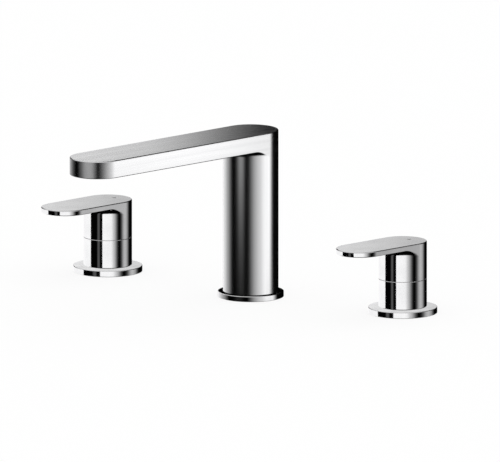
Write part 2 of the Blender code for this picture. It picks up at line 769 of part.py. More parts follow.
def tee_pieces(parent):
    """Tee under the post, which takes the hoses of both valves."""
    seal_foot = TEE_SEAL_TOP - TEE_SEAL_THICKNESS
    ring = washer(POST_BORE_RADIUS, POST_TAIL_RADIUS, seal_foot, TEE_SEAL_TOP)
    piece("tee_seal", ring, "black_rubber", parent)

    chamber_foot = TEE_CENTRE - TEE_NIPPLE_BORE_RADIUS
    shell = turned_solid(((TEE_RADIUS, chamber_foot - TEE_FLOOR), (TEE_RADIUS, TEE_TOP)))
    tee = piece("inlet_tee", shell, "cast_brass", parent)
    reach = TEE_RADIUS + TEE_NIPPLE_LENGTH
    join(tee, side_rod(TAIL_RADIUS, -reach, reach, TEE_CENTRE, "X"), parent)
    bore = turned_solid(
        (
            (POST_BORE_RADIUS, chamber_foot),
            (POST_BORE_RADIUS, TEE_SEAT),
            (TEE_SOCKET_RADIUS, TEE_SEAT),
            (TEE_SOCKET_RADIUS, TEE_TOP + CUT_OVERRUN),
        )
    )
    cut(tee, bore, parent)
    reach += CUT_OVERRUN
    cut(tee, side_rod(TEE_NIPPLE_BORE_RADIUS, -reach, reach, TEE_CENTRE, "X"), parent)


def valve_body(prefix, towards_spout, parent):
    """Threaded body: the supply comes up its middle and goes back down a curved slot to the side."""
    solid = turned_solid(
        (
            (TAIL_RADIUS, TAIL_FOOT),
            (TAIL_RADIUS, SHANK_FOOT),
            (SHANK_RADIUS, SHANK_FOOT),
            (SHANK_RADIUS, VALVE_TOP - EDGE_BREAK),
            (SHANK_RADIUS - EDGE_BREAK, VALVE_TOP),
        )
    )
    body = piece(f"{prefix}_valve_body", solid, "cast_brass", parent)
    reach = (SHANK_RADIUS + OUTLET_LENGTH) * towards_spout
    join(body, side_rod(OUTLET_RADIUS, 0, reach, OUTLET_CENTRE, "X"), parent)
    bore = turned_solid(
        (
            (INLET_BORE_RADIUS, TAIL_FOOT - CUT_OVERRUN),
            (INLET_BORE_RADIUS, CHAMBER_FLOOR - SEAT_MOUTH_DEPTH),
            (SEAT_SEAL_INNER, CHAMBER_FLOOR),
            (CHAMBER_RADIUS, CHAMBER_FLOOR),
            (CHAMBER_RADIUS, VALVE_TOP + CUT_OVERRUN),
        )
    )
    cut(body, bore, parent)
    slot = part_ring(
        DISC_RADIUS + RETURN_MARGIN,
        CHAMBER_RADIUS - RETURN_MARGIN,
        OUTLET_CENTRE,
        CHAMBER_FLOOR + CUT_OVERRUN,
        RIGHT_ANGLE if towards_spout > 0 else LEFT_ANGLE,
        RETURN_SWEEP,
        SEAL_STEPS,
    )
    cut(body, slot, parent)
    start = (DISC_RADIUS + RETURN_MARGIN) * towards_spout
    end = reach + CUT_OVERRUN * towards_spout
    way = side_rod(OUTLET_BORE_RADIUS, start, end, OUTLET_CENTRE, "X", SMALL_STEPS)
    cut(body, way, parent)


def valve_deck_pieces(prefix, parent):
    inner = SHANK_RADIUS + CONTACT_GAP
    outer = FLANGE_RADIUS - DECK_SEAL_INSET
    seal = washer(inner, outer, 0, DECK_SEAL_THICKNESS, OUTER_STEPS)
    piece(f"{prefix}_deck_seal", seal, "black_rubber", parent)
    profile = (
        (inner, FLANGE_FOOT),
        (FLANGE_RADIUS, FLANGE_FOOT),
        (FLANGE_RADIUS, FLANGE_TOP - EDGE_BREAK),
        (FLANGE_RADIUS - EDGE_BREAK, FLANGE_TOP),
        (inner, FLANGE_TOP),
    )
    piece(f"{prefix}_flange", turned_tube(profile, OUTER_STEPS), "polished_chrome", parent)


def valve_sleeve(prefix, parent):
    """Fixed shroud over the valve, whose web sits on the cartridge's hexagon."""
    hole = NECK_RADIUS + CONTACT_GAP
    profile = (
        (SLEEVE_BORE_RADIUS, SLEEVE_FOOT),
        (HUB_RADIUS, SLEEVE_FOOT),
        (HUB_RADIUS, SLEEVE_TOP),
        (hole, SLEEVE_TOP),
        (hole, WEB_UNDERSIDE),
        (SLEEVE_BORE_RADIUS, WEB_UNDERSIDE),
    )
    piece(f"{prefix}_sleeve", turned_tube(profile, OUTER_STEPS), "polished_chrome", parent)


def cartridge_seal_place():
    radius = THREAD_RADIUS - CARTRIDGE_SEAL_SECTION / 2
    return radius, THREAD_FOOT + THREAD_LENGTH * CARTRIDGE_SEAL_HEIGHT_SHARE


def cartridge_body(prefix, parent):
    cavity = around(BARREL_BORE_RADIUS)
    bore = around(SPINDLE_BORE_RADIUS)
    apothem = THREAD_RADIUS + HEX_LAND
    seal_radius, seal_height = cartridge_seal_place()
    floor_radius = seal_radius - CARTRIDGE_SEAL_SECTION / 2 - CONTACT_GAP
    width = CARTRIDGE_SEAL_SECTION + 2 * CONTACT_GAP
    profile = [
        (cavity, FIXED_DISC_FOOT),
        (BARREL_RADIUS, FIXED_DISC_FOOT),
        (BARREL_RADIUS, THREAD_FOOT),
        (THREAD_RADIUS, THREAD_FOOT),
    ]
    profile += groove(floor_radius, THREAD_RADIUS, seal_height, width)
    profile += [
        (THREAD_RADIUS, HEX_FOOT),
        (apothem, HEX_FOOT, hexagon),
        (apothem, HEX_TOP, hexagon),
        (NECK_RADIUS, HEX_TOP),
        (NECK_RADIUS, NECK_TOP),
        (bore, NECK_TOP),
        (bore, WINDOW_TOP),
        (cavity, WINDOW_TOP),
    ]
    body = piece(f"{prefix}_cartridge_body", turned_tube(profile), "cast_brass", parent)
    across = BARREL_RADIUS + CUT_OVERRUN
    cut(body, block(across, WINDOW_WIDTH / 2, WINDOW_FOOT, WINDOW_TOP - CONTACT_GAP), parent)
    cut(body, block(WINDOW_WIDTH / 2, across, WINDOW_FOOT, WINDOW_TOP - CONTACT_GAP), parent)
    ring = seal_ring(seal_radius, seal_height, CARTRIDGE_SEAL_SECTION)
    piece(f"{prefix}_cartridge_o_ring", ring, "black_rubber", parent)


def cut_ports(disc, foot, middle, parent):
    """Two opposite windows through a ceramic disc."""
    inner, outer = (DISC_RADIUS * share for share in DISC_PORT_SHARES)
    low = foot - CUT_OVERRUN
    high = foot + DISC_THICKNESS + CUT_OVERRUN
    for turn in (RIGHT_ANGLE, LEFT_ANGLE):
        port = part_ring(inner, outer, low, high, middle + turn, DISC_PORT_SWEEP, SEAL_STEPS)
        cut(disc, port, parent)


def valve_discs(prefix, fixed_parent, moving_parent):
    """Ceramic discs, closed at rest: the lever's turn brings their windows together."""
    ring = washer(SEAT_SEAL_INNER, DISC_RADIUS, SEAT_SEAL_FOOT, SEAT_SEAL_TOP)
    piece(f"{prefix}_seat_seal", ring, "black_rubber", fixed_parent)
    solid = turned_solid(((DISC_RADIUS, FIXED_DISC_FOOT), (DISC_RADIUS, FIXED_DISC_TOP)))
    fixed = piece(f"{prefix}_fixed_disc", solid, "grey_ceramic", fixed_parent)
    cut_ports(fixed, FIXED_DISC_FOOT, RIGHT_ANGLE, fixed_parent)
    solid = turned_solid(((DISC_RADIUS, MOVING_DISC_FOOT), (DISC_RADIUS, MOVING_DISC_TOP)))
    moving = piece(f"{prefix}_moving_disc", solid, "grey_ceramic", moving_parent)
    cut_ports(moving, MOVING_DISC_FOOT, LEVER_TURN, moving_parent)
    slot = block(
        DISC_RADIUS - KEY_MARGIN + CONTACT_GAP,
        KEY_WIDTH / 2 + CONTACT_GAP,
        MOVING_DISC_TOP - KEY_DEPTH,
        MOVING_DISC_TOP + CUT_OVERRUN,
    )
    cut(moving, slot, moving_parent)


def spindle_seal_place():
    radius = SPINDLE_RADIUS - SPINDLE_SEAL_SECTION / 2
    return radius, HEX_FOOT + (NECK_TOP - HEX_FOOT) * SPINDLE_SEAL_HEIGHT_SHARE


def spindle(prefix, parent):
    seal_radius, seal_height = spindle_seal_place()
    floor_radius = seal_radius - SPINDLE_SEAL_SECTION / 2 - CONTACT_GAP
    width = SPINDLE_SEAL_SECTION + 2 * CONTACT_GAP
    clip_radius = SPINDLE_RADIUS - CLIP_GROOVE_DEPTH
    clip_middle = (CLIP_FOOT + CLIP_TOP) / 2
    key_top = MOVING_DISC_TOP + KEY_RISE
    profile = [(SPINDLE_RADIUS, key_top - KEY_RISE * KEY_OVERLAP_SHARE)]
    profile += groove(floor_radius, SPINDLE_RADIUS, seal_height, width)
    profile += groove(clip_radius, SPINDLE_RADIUS, clip_middle, CLIP_THICKNESS + 2 * CONTACT_GAP)
    profile += [(SPINDLE_RADIUS, SPINDLE_TOP)]
    solid = turned_solid(profile, SMALL_STEPS)
    rod = piece(f"{prefix}_spindle", solid, "cast_brass", parent)
    key_foot = MOVING_DISC_TOP - KEY_DEPTH + CONTACT_GAP
    key = block(DISC_RADIUS - KEY_MARGIN, KEY_WIDTH / 2, key_foot, key_top)
    join(rod, key, parent)
    ring = seal_ring(seal_radius, seal_height, SPINDLE_SEAL_SECTION, SMALL_STEPS)
    piece(f"{prefix}_spindle_o_ring", ring, "black_rubber", parent)
    inner = clip_radius + CONTACT_GAP
    outer = inner + CLIP_WIDTH
    clip = part_ring(inner, outer, CLIP_FOOT, CLIP_TOP, BACK_ANGLE, CLIP_SWEEP, SMALL_STEPS)
    piece(f"{prefix}_spindle_clip", clip, "stainless_steel", parent)


def spline_adaptor(prefix, parent):
    bore = SPINDLE_RADIUS + CONTACT_GAP
    profile = (
        (bore, ADAPTOR_FOOT),
        (ADAPTOR_RADIUS, ADAPTOR_FOOT, toothed),
        (ADAPTOR_RADIUS, ADAPTOR_TOP, toothed),
        (bore, ADAPTOR_TOP),
    )
    piece(f"{prefix}_spline_adaptor", turned_tube(profile), "white_acetal", parent)


def lever(prefix, parent):
    body = arm_on_column(
        HUB_RADIUS,
        LEVER_REACH,
        HUB_FOOT,
        LEVER_TOP,
        LEVER_THICKNESS,
        LEVER_FILLET,
        EDGE_BREAK,
        OUTER_STEPS,
    )
    handle = piece(f"{prefix}_lever", body, "polished_chrome", parent)
    inner = HUB_RADIUS - HUB_WALL
    bore = ADAPTOR_RADIUS + CONTACT_GAP
    boss = bore + BOSS_WALL
    roof = LEVER_TOP - HUB_ROOF
    hollow = turned_solid(
        (
            (inner, HUB_FOOT - CUT_OVERRUN),
            (inner, roof),
            (boss, roof),
            (boss, BOSS_FOOT),
            (bore, BOSS_FOOT),
            (bore, ADAPTOR_TOP + CONTACT_GAP),
        )
    )
    cut(handle, hollow, parent)

    height = (ADAPTOR_FOOT + ADAPTOR_TOP) / 2
    hole = LEVER_SCREW_RADIUS + CONTACT_GAP
    end = HUB_RADIUS + CUT_OVERRUN
    cut(handle, side_rod(hole, ADAPTOR_RADIUS / 2, end, height, "Y", SMALL_STEPS), parent)
    name = f"{prefix}_lever_grub_screw"
    grub_screw(name, bore, bore + LEVER_SCREW_LENGTH, height, LEVER_SCREW_RADIUS, parent)
    return handle


def index_button(prefix, handle, parent):
    """Small flush button in the lever's top, behind the axis."""
    place = axis_empty(f"{prefix}_index_axis", 0, INDEX_SETBACK, 0)
    place.parent = parent
    radius = INDEX_DIAMETER / 2
    foot = LEVER_TOP - INDEX_DEPTH
    seat = radius + CONTACT_GAP
    recess = turned_solid(((seat, foot), (seat, LEVER_TOP + CUT_OVERRUN)), SMALL_STEPS)
    cut(handle, recess, place)
    button = turned_solid(((radius, foot + CONTACT_GAP), (radius, LEVER_TOP)), SMALL_STEPS)
    piece(f"{prefix}_index_button", button, "index_enamel", place)


def valve(prefix, x, y, towards_spout):
    fixed = axis_empty(f"{prefix}_valve_axis", x, y, 0)
    moving = axis_empty(f"{prefix}_lever_axis", x, y, 0)
    valve_deck_pieces(prefix, fixed)
    clamp_pieces(prefix, SHANK_RADIUS, fixed)
    valve_body(prefix, towards_spout, fixed)
    valve_sleeve(prefix, fixed)
    cartridge_body(prefix, fixed)
    valve_discs(prefix, fixed, moving)
    spindle(prefix, moving)
    spline_adaptor(prefix, moving)
    handle = lever(prefix, moving)
    index_button(prefix, handle, moving)


def spout():
    fixed = axis_empty("post_axis", 0, 0, 0)
    moving = axis_empty("spout_axis", 0, 0, 0)
    spout_deck_pieces(fixed)
    clamp_pieces("spout", POST_SHANK_RADIUS, fixed)
    spout_post(fixed)
    post_seals(fixed)
    swivel_washer(fixed)
    tee_pieces(fixed)
    swivel_socket(moving)
    at_tip = spout_body(moving)
    spout_limit_screw(moving)
    aerator(at_tip)


def main():
    clear_scene()
    spout()
    valve("hot", HOT_VALVE_X, HOT_VALVE_Y, 1)
    valve("cold", COLD_VALVE_X, COLD_VALVE_Y, -1)


main()
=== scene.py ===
"""Looks of a deck-mounted bath filler: a brushed swivel spout between two polished lever valves.

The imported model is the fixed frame. The pieces that show are rebuilt round it with fine edges, and
every piece gets a procedural finish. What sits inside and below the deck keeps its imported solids.
Each operator below makes one piece or a group of like pieces; main() runs them in order.
"""

import json
import math

import bmesh
import bpy
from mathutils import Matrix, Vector

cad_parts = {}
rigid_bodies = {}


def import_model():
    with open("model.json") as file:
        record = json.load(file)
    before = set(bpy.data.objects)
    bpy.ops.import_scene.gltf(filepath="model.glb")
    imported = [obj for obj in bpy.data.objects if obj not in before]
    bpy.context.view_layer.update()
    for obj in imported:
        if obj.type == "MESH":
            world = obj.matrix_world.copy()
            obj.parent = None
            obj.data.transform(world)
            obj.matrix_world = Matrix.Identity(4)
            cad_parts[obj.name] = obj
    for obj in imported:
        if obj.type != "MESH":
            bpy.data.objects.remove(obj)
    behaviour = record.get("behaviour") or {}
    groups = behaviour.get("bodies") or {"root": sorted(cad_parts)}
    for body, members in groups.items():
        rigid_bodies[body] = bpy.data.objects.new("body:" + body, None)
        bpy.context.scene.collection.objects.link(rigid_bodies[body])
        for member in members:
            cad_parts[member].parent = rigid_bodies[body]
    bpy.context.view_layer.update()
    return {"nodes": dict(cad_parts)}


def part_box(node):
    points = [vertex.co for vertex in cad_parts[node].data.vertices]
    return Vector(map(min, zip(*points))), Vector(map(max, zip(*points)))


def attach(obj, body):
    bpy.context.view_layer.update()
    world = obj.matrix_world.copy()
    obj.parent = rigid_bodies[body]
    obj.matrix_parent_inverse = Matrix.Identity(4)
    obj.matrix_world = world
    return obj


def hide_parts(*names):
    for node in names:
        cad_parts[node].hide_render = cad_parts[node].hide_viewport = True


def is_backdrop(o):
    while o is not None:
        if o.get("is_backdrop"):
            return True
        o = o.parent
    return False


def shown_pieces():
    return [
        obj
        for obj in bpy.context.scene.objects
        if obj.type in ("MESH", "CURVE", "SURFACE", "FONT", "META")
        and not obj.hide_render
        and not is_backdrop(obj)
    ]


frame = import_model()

bl_info = {
    "name": "Bath Filler Looks",
    "version": (1, 0, 0),
    "blender": (4, 5, 0),
    "location": "View3D > Sidebar > Bath Filler",
    "description": "Builds the visible pieces, finishes and studio of a deck-mounted bath filler",
    "category": "Object",
}


def node_radius(name):
    """Radius of a round upright node, or of a rod along Y, from its box."""
    low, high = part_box(name)
    return (high.x - low.x) / 2


def node_centre(name):
    """Where a round node's axis stands, from its box."""
    low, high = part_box(name)
    return ((low.x + high.x) / 2, (low.y + high.y) / 2)


# Clearances between pieces, and how far a cutter runs past what it cuts
GAP = 0.0003
BUTTON_GAP = GAP / 4
OVERRUN = 0.0010

# Steps of the round forms, and what counts as one point or as an edge
HALF_TURN_STEPS = 72
FILLET_STEPS = 10
SCREW_STEPS = 32
ROUND_STEPS = 4
MERGE_DISTANCE = 1e-7
SHARP_ANGLE = math.radians(32.0)
BEVEL_ANGLE = math.radians(24.0)
FLAT_FACE_WEIGHT = 90

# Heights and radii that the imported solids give
SPOUT_LOW, SPOUT_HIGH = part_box("spout_body")
AERATOR_LOW, AERATOR_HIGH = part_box("aerator_housing")
LIMIT_LOW, LIMIT_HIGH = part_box("spout_limit_screw")
RING_LOW, RING_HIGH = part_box("spout_base_ring")
COLUMN_RADIUS = SPOUT_HIGH.x
SPOUT_REACH = -SPOUT_LOW.y - COLUMN_RADIUS
ARM_UNDERSIDE = AERATOR_LOW.z - GAP
AERATOR_RADIUS = node_radius("aerator_housing")
OUTLET_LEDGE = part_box("aerator_seal")[1].z + GAP
LIMIT_RADIUS = node_radius("spout_limit_screw")
LIMIT_HEIGHT = (LIMIT_LOW.z + LIMIT_HIGH.z) / 2

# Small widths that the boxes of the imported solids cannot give
CLAMP_SEAL_WIDTH = 0.0087
OUTLET_LEDGE_WIDTH = 0.0024
OUTLET_ROOF = 0.0012
AERATOR_LIP = 0.0010
SLEEVE_WALL = 0.0018
SPINDLE_HOLE = 0.0078
SKIRT_WIDTH = 0.0010
SKIRT_CLEARANCE = 0.0004
TINY_ROUND = 0.0002

# The button's crown, in shares of its radius and of the tiny rounding that it drops at its rim
CROWN_SHARES = ((1.0, 1.0), (0.94, 0.3), (0.80, 0.0))

# The enamel spot on the button's face, and the shares of its radius over which it ends
SPOT_RADIUS = 0.0012
SPOT_EDGE_SHARES = (0.9, 1.1)

# Brush lines: their number to the metre across and along, and how far below the arm they start to turn
BRUSH_ACROSS = 2600.0
BRUSH_ALONG = 14.0
BRUSH_TURN_HEIGHT = 0.006

# Shares of fine lines in the brushed tone, of clouds in the water marks, and of a grained colour's ends
BRUSH_FINE_SHARE = 0.55
CLOUD_SHARE = 0.5
GRAIN_DARK_SHARE = 0.80
GRAIN_LIGHT_SHARE = 1.12

# The photograph's view
VIEW_AZIMUTH = math.radians(46.5)
VIEW_ELEVATION = math.radians(10.85)
CAMERA_DISTANCE = 2.0
TOWARDS_CAMERA = Vector((math.sin(VIEW_AZIMUTH), -math.cos(VIEW_AZIMUTH), 0.0))
IMAGE_RIGHT = Vector((math.cos(VIEW_AZIMUTH), math.sin(VIEW_AZIMUTH), 0.0))

# Watts per square metre at which a card of level 1 is as bright as a white backdrop
CARD_WATTS = math.pi

# How far the cards for the round hubs stand from the spout, and those for the flat tops from each handle
HANDLE_CARD_DISTANCE = 2.5
HANDLE_TOP_DISTANCE = 0.40

# The room that gloss sees: angles are degrees above the horizon, and levels are shares of white
SKY_FOOT = (7.0, 15.0)
SKY_FOOT_LEVEL = 0.75
SKY_DOME = (15.0, 60.0)
SKY_DOME_LEVEL = 0.15
ROOM_LEVEL = 0.001

# Dark flags of that room, one low behind the filler and one higher up to its right, each given by its
# heading and lift and by its outer and inner half angle in degrees; the low one fades out upwards
LOW_FLAG = (180.0, 0.0, 75.0, 50.0)
LOW_FLAG_TOP = (20.0, 26.0)
HIGH_FLAG = (130.0, 35.0, 42.0, 32.0)


def length_property(name, description, default, **limits):
    """A length in metres, with its least and greatest value where it has them."""
    return bpy.props.FloatProperty(
        name=name, description=description, default=default, unit="LENGTH", **limits
    )


def share_property(name, description, default, **limits):
    """A number from 0 to 1."""
    return bpy.props.FloatProperty(
        name=name, description=description, default=default, subtype="FACTOR", **limits
    )


def colour_property(name, description, default):
    """A colour of red, green and blue from 0 to 1."""
    return bpy.props.FloatVectorProperty(
        name=name, description=description, default=default, min=0.0, max=1.0, size=3, subtype="COLOR"
    )


class SpoutSizes(bpy.types.PropertyGroup):
    """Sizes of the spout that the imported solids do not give."""

    wall: length_property(
        "Wall", "Thickness of the casting round the waterway",
        default=0.003, min=0.001, max=0.006
    )
    fillet: length_property(
        "Fillet", "Radius of the blend between the column and the underside of the arm",
        default=0.005, min=0.001, max=0.012
    )
    edge_round: length_property(
        "Edge rounding", "Radius on the edges of the arm",
        default=0.0009, min=0.0001, max=0.002
    )
    ring_edge_round: length_property(
        "Ring edge rounding", "Radius on the edges of the base ring",
        default=0.0005, min=0.0001, max=0.0015
    )


class HandleSizes(bpy.types.PropertyGroup):
    """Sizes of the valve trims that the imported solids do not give."""

    thickness: length_property(
        "Lever thickness", "Thickness of the flat lever",
        default=0.0047, min=0.002, max=0.010
    )
    fillet: length_property(
        "Lever fillet", "Radius of the blend between the hub and the underside of the lever",
        default=0.0058, min=0.001, max=0.012
    )
    edge_round: length_property(
        "Lever edge rounding", "Radius on the edges of the lever",
        default=0.0008, min=0.0001, max=0.0015
    )
    hub_wall: length_property(
        "Hub wall", "Thickness of the hub round the cartridge",
        default=0.0022, min=0.001, max=0.005
    )
    hub_roof: length_property(
        "Hub roof", "Thickness of the metal over the hub's hollow",
        default=0.0070, min=0.003, max=0.012
    )
    boss_wall: length_property(
        "Boss wall", "Metal round the adaptor's bore inside the hub",
        default=0.0057, min=0.001, max=0.008
    )
    sleeve_web: length_property(
        "Sleeve web", "Thickness of the web at the top of the fixed sleeve",
        default=0.0022, min=0.001, max=0.004
    )
    joint_round: length_property(
        "Joint edge rounding", "Radius on both edges of the line between sleeve and hub",
        default=0.0003, min=0.0001, max=0.001
    )
    flange_round: length_property(
        "Flange edge rounding", "Radius on the edges of the flange",
        default=0.0005, min=0.0001, max=0.0015
    )


class FinishSettings(bpy.types.PropertyGroup):
    """Colours and gloss of the finishes."""

    brushed_light: colour_property(
        "Brushed chrome, light", "Colour on top of the brush lines", (0.93, 0.93, 0.935)
    )
    brushed_dark: colour_property(
        "Brushed chrome, dark", "Colour in the brush lines", (0.85, 0.85, 0.86)
    )
    polished_light: colour_property(
        "Polished chrome, light", "Colour of clean polished chrome", (0.93, 0.93, 0.935)
    )
    polished_dark: colour_property(
        "Polished chrome, dark", "Colour of faint water marks", (0.82, 0.82, 0.83)
    )
    brass: colour_property("Cast brass", "Colour of the brass", (0.74, 0.58, 0.30))
    steel: colour_property("Stainless steel", "Colour of the steel", (0.60, 0.60, 0.61))
    rubber: colour_property("Rubber", "Colour of the seals", (0.03, 0.03, 0.03))
    acetal: colour_property("Acetal", "Colour of the plastic inserts", (0.82, 0.82, 0.80))
    ceramic: colour_property("Ceramic", "Colour of the valve discs", (0.70, 0.70, 0.68))
    enamel: colour_property("Index enamel", "Colour of the spot on the buttons", (0.03, 0.03, 0.03))
    brush_roughness: share_property(
        "Brushed roughness", "Mean roughness of the brushed spout",
        default=0.16, min=0.02, max=0.5
    )
    polish_roughness: share_property(
        "Polished roughness", "Mean roughness of the polished pieces",
        default=0.07, min=0.01, max=0.5
    )


class StudioSettings(bpy.types.PropertyGroup):
    """The camera and the floor."""

    frame_width: length_property(
        "Width in view", "Width that the picture shows at the object",
        default=0.4325, min=0.1, max=2.0
    )
    aim_aside: length_property(
        "Aim aside", "How far to the picture's right of the column the middle of the picture lies",
        default=-0.00065
    )
    aim_height: length_property(
        "Aim height", "Height of the point in the middle of the picture",
        default=0.0574
    )
    floor_colour: colour_property("Floor", "Colour of the plain floor", (0.98, 0.98, 0.98))
    floor_glow: share_property(
        "Floor glow", "Share of the floor that shows plain white to the camera; the rest keeps shadows",
        default=0.85, min=0.0, max=1.0
    )
    floor_size: length_property(
        "Floor size", "Side of the square floor",
        default=24.0, min=2.0
    )


def link(obj):
    """Puts an object into the scene and hands it back."""
    bpy.context.scene.collection.objects.link(obj)
    return obj


def mesh_object(name, bm, place=(0.0, 0.0)):
    """A new object from a bmesh that was built about its own upright axis."""
    bmesh.ops.remove_doubles(bm, verts=bm.verts, dist=MERGE_DISTANCE)
    bmesh.ops.recalc_face_normals(bm, faces=bm.faces)
    mesh = bpy.data.meshes.new(name)
    bm.to_mesh(mesh)
    bm.free()
    obj = link(bpy.data.objects.new(name, mesh))
    obj.location = (place[0], place[1], 0.0)
    return obj


def bridge(bm, lower, upper, closed=True):
    """Quads between two rows of as many points, which are rings where closed."""
    count = len(lower)
    for i in range(count if closed else count - 1):
        j = (i + 1) % count
        bm.faces.new((lower[i], lower[j], upper[j], upper[i]))


def circle(bm, radius, height, steps):
    """Ring of points about the upright axis."""
    points = []
    for i in range(steps):
        angle = math.tau * i / steps
        points.append(bm.verts.new((radius * math.cos(angle), radius * math.sin(angle), height)))
    return points


def arc(bm, radius, centre_y, height, start, end, steps):
    """Row of points at a height, on a circle whose centre lies on the Y axis, from one angle to another."""
    points = []
    for i in range(steps + 1):
        angle = start + (end - start) * i / steps
        x = radius * math.cos(angle)
        points.append(bm.verts.new((x, centre_y + radius * math.sin(angle), height)))
    return points


def rounded(outline):
    """Closed outline of (radius, height, rounding) with an arc put in each corner that has a rounding."""
    points = []
    count = len(outline)
    for i, (x, z, size) in enumerate(outline):
        if size <= 0:
            points.append((x, z))
            continue
        corner = Vector((x, z))
        before = (Vector(outline[i - 1][:2]) - corner).normalized()
        after = (Vector(outline[(i + 1) % count][:2]) - corner).normalized()
        half = before.angle(after) / 2
        centre = corner + (before + after).normalized() * size / math.sin(half)
        first = corner + before * size / math.tan(half) - centre
        last = corner + after * size / math.tan(half) - centre
        for step in range(ROUND_STEPS + 1):
            turned = first.normalized().slerp(last.normalized(), step / ROUND_STEPS) * first.length
            points.append((centre.x + turned.x, centre.y + turned.y))
    return points


def turned_tube(outline, steps=2 * HALF_TURN_STEPS):
    """Closed outline turned about the upright axis."""
    bm = bmesh.new()
    rings = [circle(bm, radius, height, steps) for radius, height in rounded(outline)]
    for lower, upper in zip(rings, rings[1:] + rings[:1]):
        bridge(bm, lower, upper)
    return bm


def turned_solid(outline, steps=2 * HALF_TURN_STEPS):
    """Open outline of (radius, height) turned about the upright axis and closed by two discs."""
    bm = bmesh.new()
    rings = [circle(bm, radius, height, steps) for radius, height in outline]
    for lower, upper in zip(rings, rings[1:]):
        bridge(bm, lower, upper)
    bm.faces.new(rings[0])
    bm.faces.new(rings[-1])
    return bm


def rod_along_y(radius, start, end, height, steps=SCREW_STEPS):
    """Closed round rod at a height, from one Y to another."""
    bm = bmesh.new()
    rings = []
    for y in (start, end):
        ring = []
        for i in range(steps):
            angle = math.tau * i / steps
            x = radius * math.cos(angle)
            ring.append(bm.verts.new((x, y, height + radius * math.sin(angle))))
        rings.append(ring)
    bridge(bm, rings[0], rings[1])
    bm.faces.new(rings[0])
    bm.faces.new(rings[1])
    return bm


def arm_on_column(radius, reach, foot, top, thickness, fillet):
    """Round column with a flat, round-ended arm of its own width along -Y, and a fillet below the arm.

    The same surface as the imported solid's, with finer steps and without its edge breaks.
    """
    bm = bmesh.new()
    steps = HALF_TURN_STEPS
    underside = top - thickness
    spring = underside - fillet

    back_foot = arc(bm, radius, 0, foot, 0, math.pi, steps)
    back_spring = arc(bm, radius, 0, spring, 0, math.pi, steps)
    back_top = arc(bm, radius, 0, top, 0, math.pi, steps)
    front_foot = arc(bm, radius, 0, foot, math.pi, math.tau, steps)
    blends = [arc(bm, radius, 0, spring, math.pi, math.tau, steps)]
    for i in range(1, FILLET_STEPS + 1):
        turn = math.pi / 2 * i / FILLET_STEPS
        disc = radius + fillet * (1 - math.cos(turn))
        side = math.acos(radius / disc)
        height = spring + fillet * math.sin(turn)
        blends.append(arc(bm, disc, 0, height, math.pi + side, math.tau - side, steps))
    tip_foot = arc(bm, radius, -reach, underside, math.pi, math.tau, steps)
    tip_top = arc(bm, radius, -reach, top, math.pi, math.tau, steps)

    bm.faces.new(back_foot + front_foot)
    bridge(bm, back_foot, back_spring, closed=False)
    bridge(bm, front_foot, blends[0], closed=False)
    bridge(bm, back_spring, back_top, closed=False)
    for lower, upper in zip(blends, blends[1:]):
        bridge(bm, lower, upper, closed=False)
    for end in (0, -1):
        curve = [row[end] for row in blends]
        bm.faces.new(curve + [tip_foot[end], tip_top[end], back_top[-1 - end]])
    bm.faces.new(blends[-1] + tip_foot[::-1])
    bridge(bm, tip_foot, tip_top, closed=False)
    bm.faces.new(back_top + tip_top)
    return bm


def round_edges(bm, size, lowest):
    """Rounds the edges that stand out at or above a height."""
    bmesh.ops.remove_doubles(bm, verts=bm.verts, dist=MERGE_DISTANCE)
    bmesh.ops.recalc_face_normals(bm, faces=bm.faces)
    edges = []
    for edge in bm.edges:
        if len(edge.link_faces) != 2 or min(v.co.z for v in edge.verts) < lowest:
            continue
        if edge.calc_face_angle_signed() > BEVEL_ANGLE:
            edges.append(edge)
    bmesh.ops.bevel(
        bm,
        geom=edges,
        offset=size,
        offset_type="OFFSET",
        segments=ROUND_STEPS,
        profile=0.5,
        affect="EDGES",
        clamp_overlap=False,
    )


def carve(obj, steps):
    """Cuts or joins each (operation, bmesh, place) in turn and keeps the result as the object's mesh."""
    tools = []
    for number, (operation, bm, place) in enumerate(steps):
        tool = mesh_object(f"{obj.name}_tool_{number}", bm, place)
        modifier = obj.modifiers.new(operation.title(), "BOOLEAN")
        modifier.operation = operation
        modifier.solver = "EXACT"
        modifier.object = tool
        tools.append(tool)
    bpy.context.view_layer.update()
    graph = bpy.context.evaluated_depsgraph_get()
    baked = bpy.data.meshes.new_from_object(obj.evaluated_get(graph))
    obj.modifiers.clear()
    obj.data = baked
    baked.name = obj.name
    for tool in tools:
        spent = tool.data
        bpy.data.objects.remove(tool)
        bpy.data.meshes.remove(spent)


def finish_piece(obj, body, slot, *nodes):
    """Smooth shading, the finish of a slot, the body it rides on and the nodes it stands for.

    Pieces stay out of each other's shine, because the photograph's retouched chrome shows no neighbour.
    """
    obj.data.materials.clear()
    obj.data.materials.append(FINISHES[slot]())
    obj.data.shade_smooth()
    obj.data.set_sharp_from_angle(angle=SHARP_ANGLE)
    weighted = obj.modifiers.new("Even normals", "WEIGHTED_NORMAL")
    weighted.keep_sharp = True
    weighted.weight = FLAT_FACE_WEIGHT
    obj.visible_glossy = False
    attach(obj, body)
    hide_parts(*nodes)
    return obj


def effect_group(name, inputs, outputs):
    """An empty node group with a Vector input and its named sockets, and its input and output nodes."""
    group = bpy.data.node_groups.new(name, "ShaderNodeTree")
    group.interface.new_socket(name="Vector", in_out="INPUT", socket_type="NodeSocketVector")
    for in_out, labels in (("INPUT", inputs), ("OUTPUT", outputs)):
        for label in labels:
            group.interface.new_socket(name=label, in_out=in_out, socket_type="NodeSocketFloat")
    return group, group.nodes.new("NodeGroupInput"), group.nodes.new("NodeGroupOutput")


def feed(tree, target, value):
    """Sets an input to a number, or links an output to it."""
    if isinstance(value, (int, float)):
        target.default_value = value
    else:
        tree.links.new(value, target)


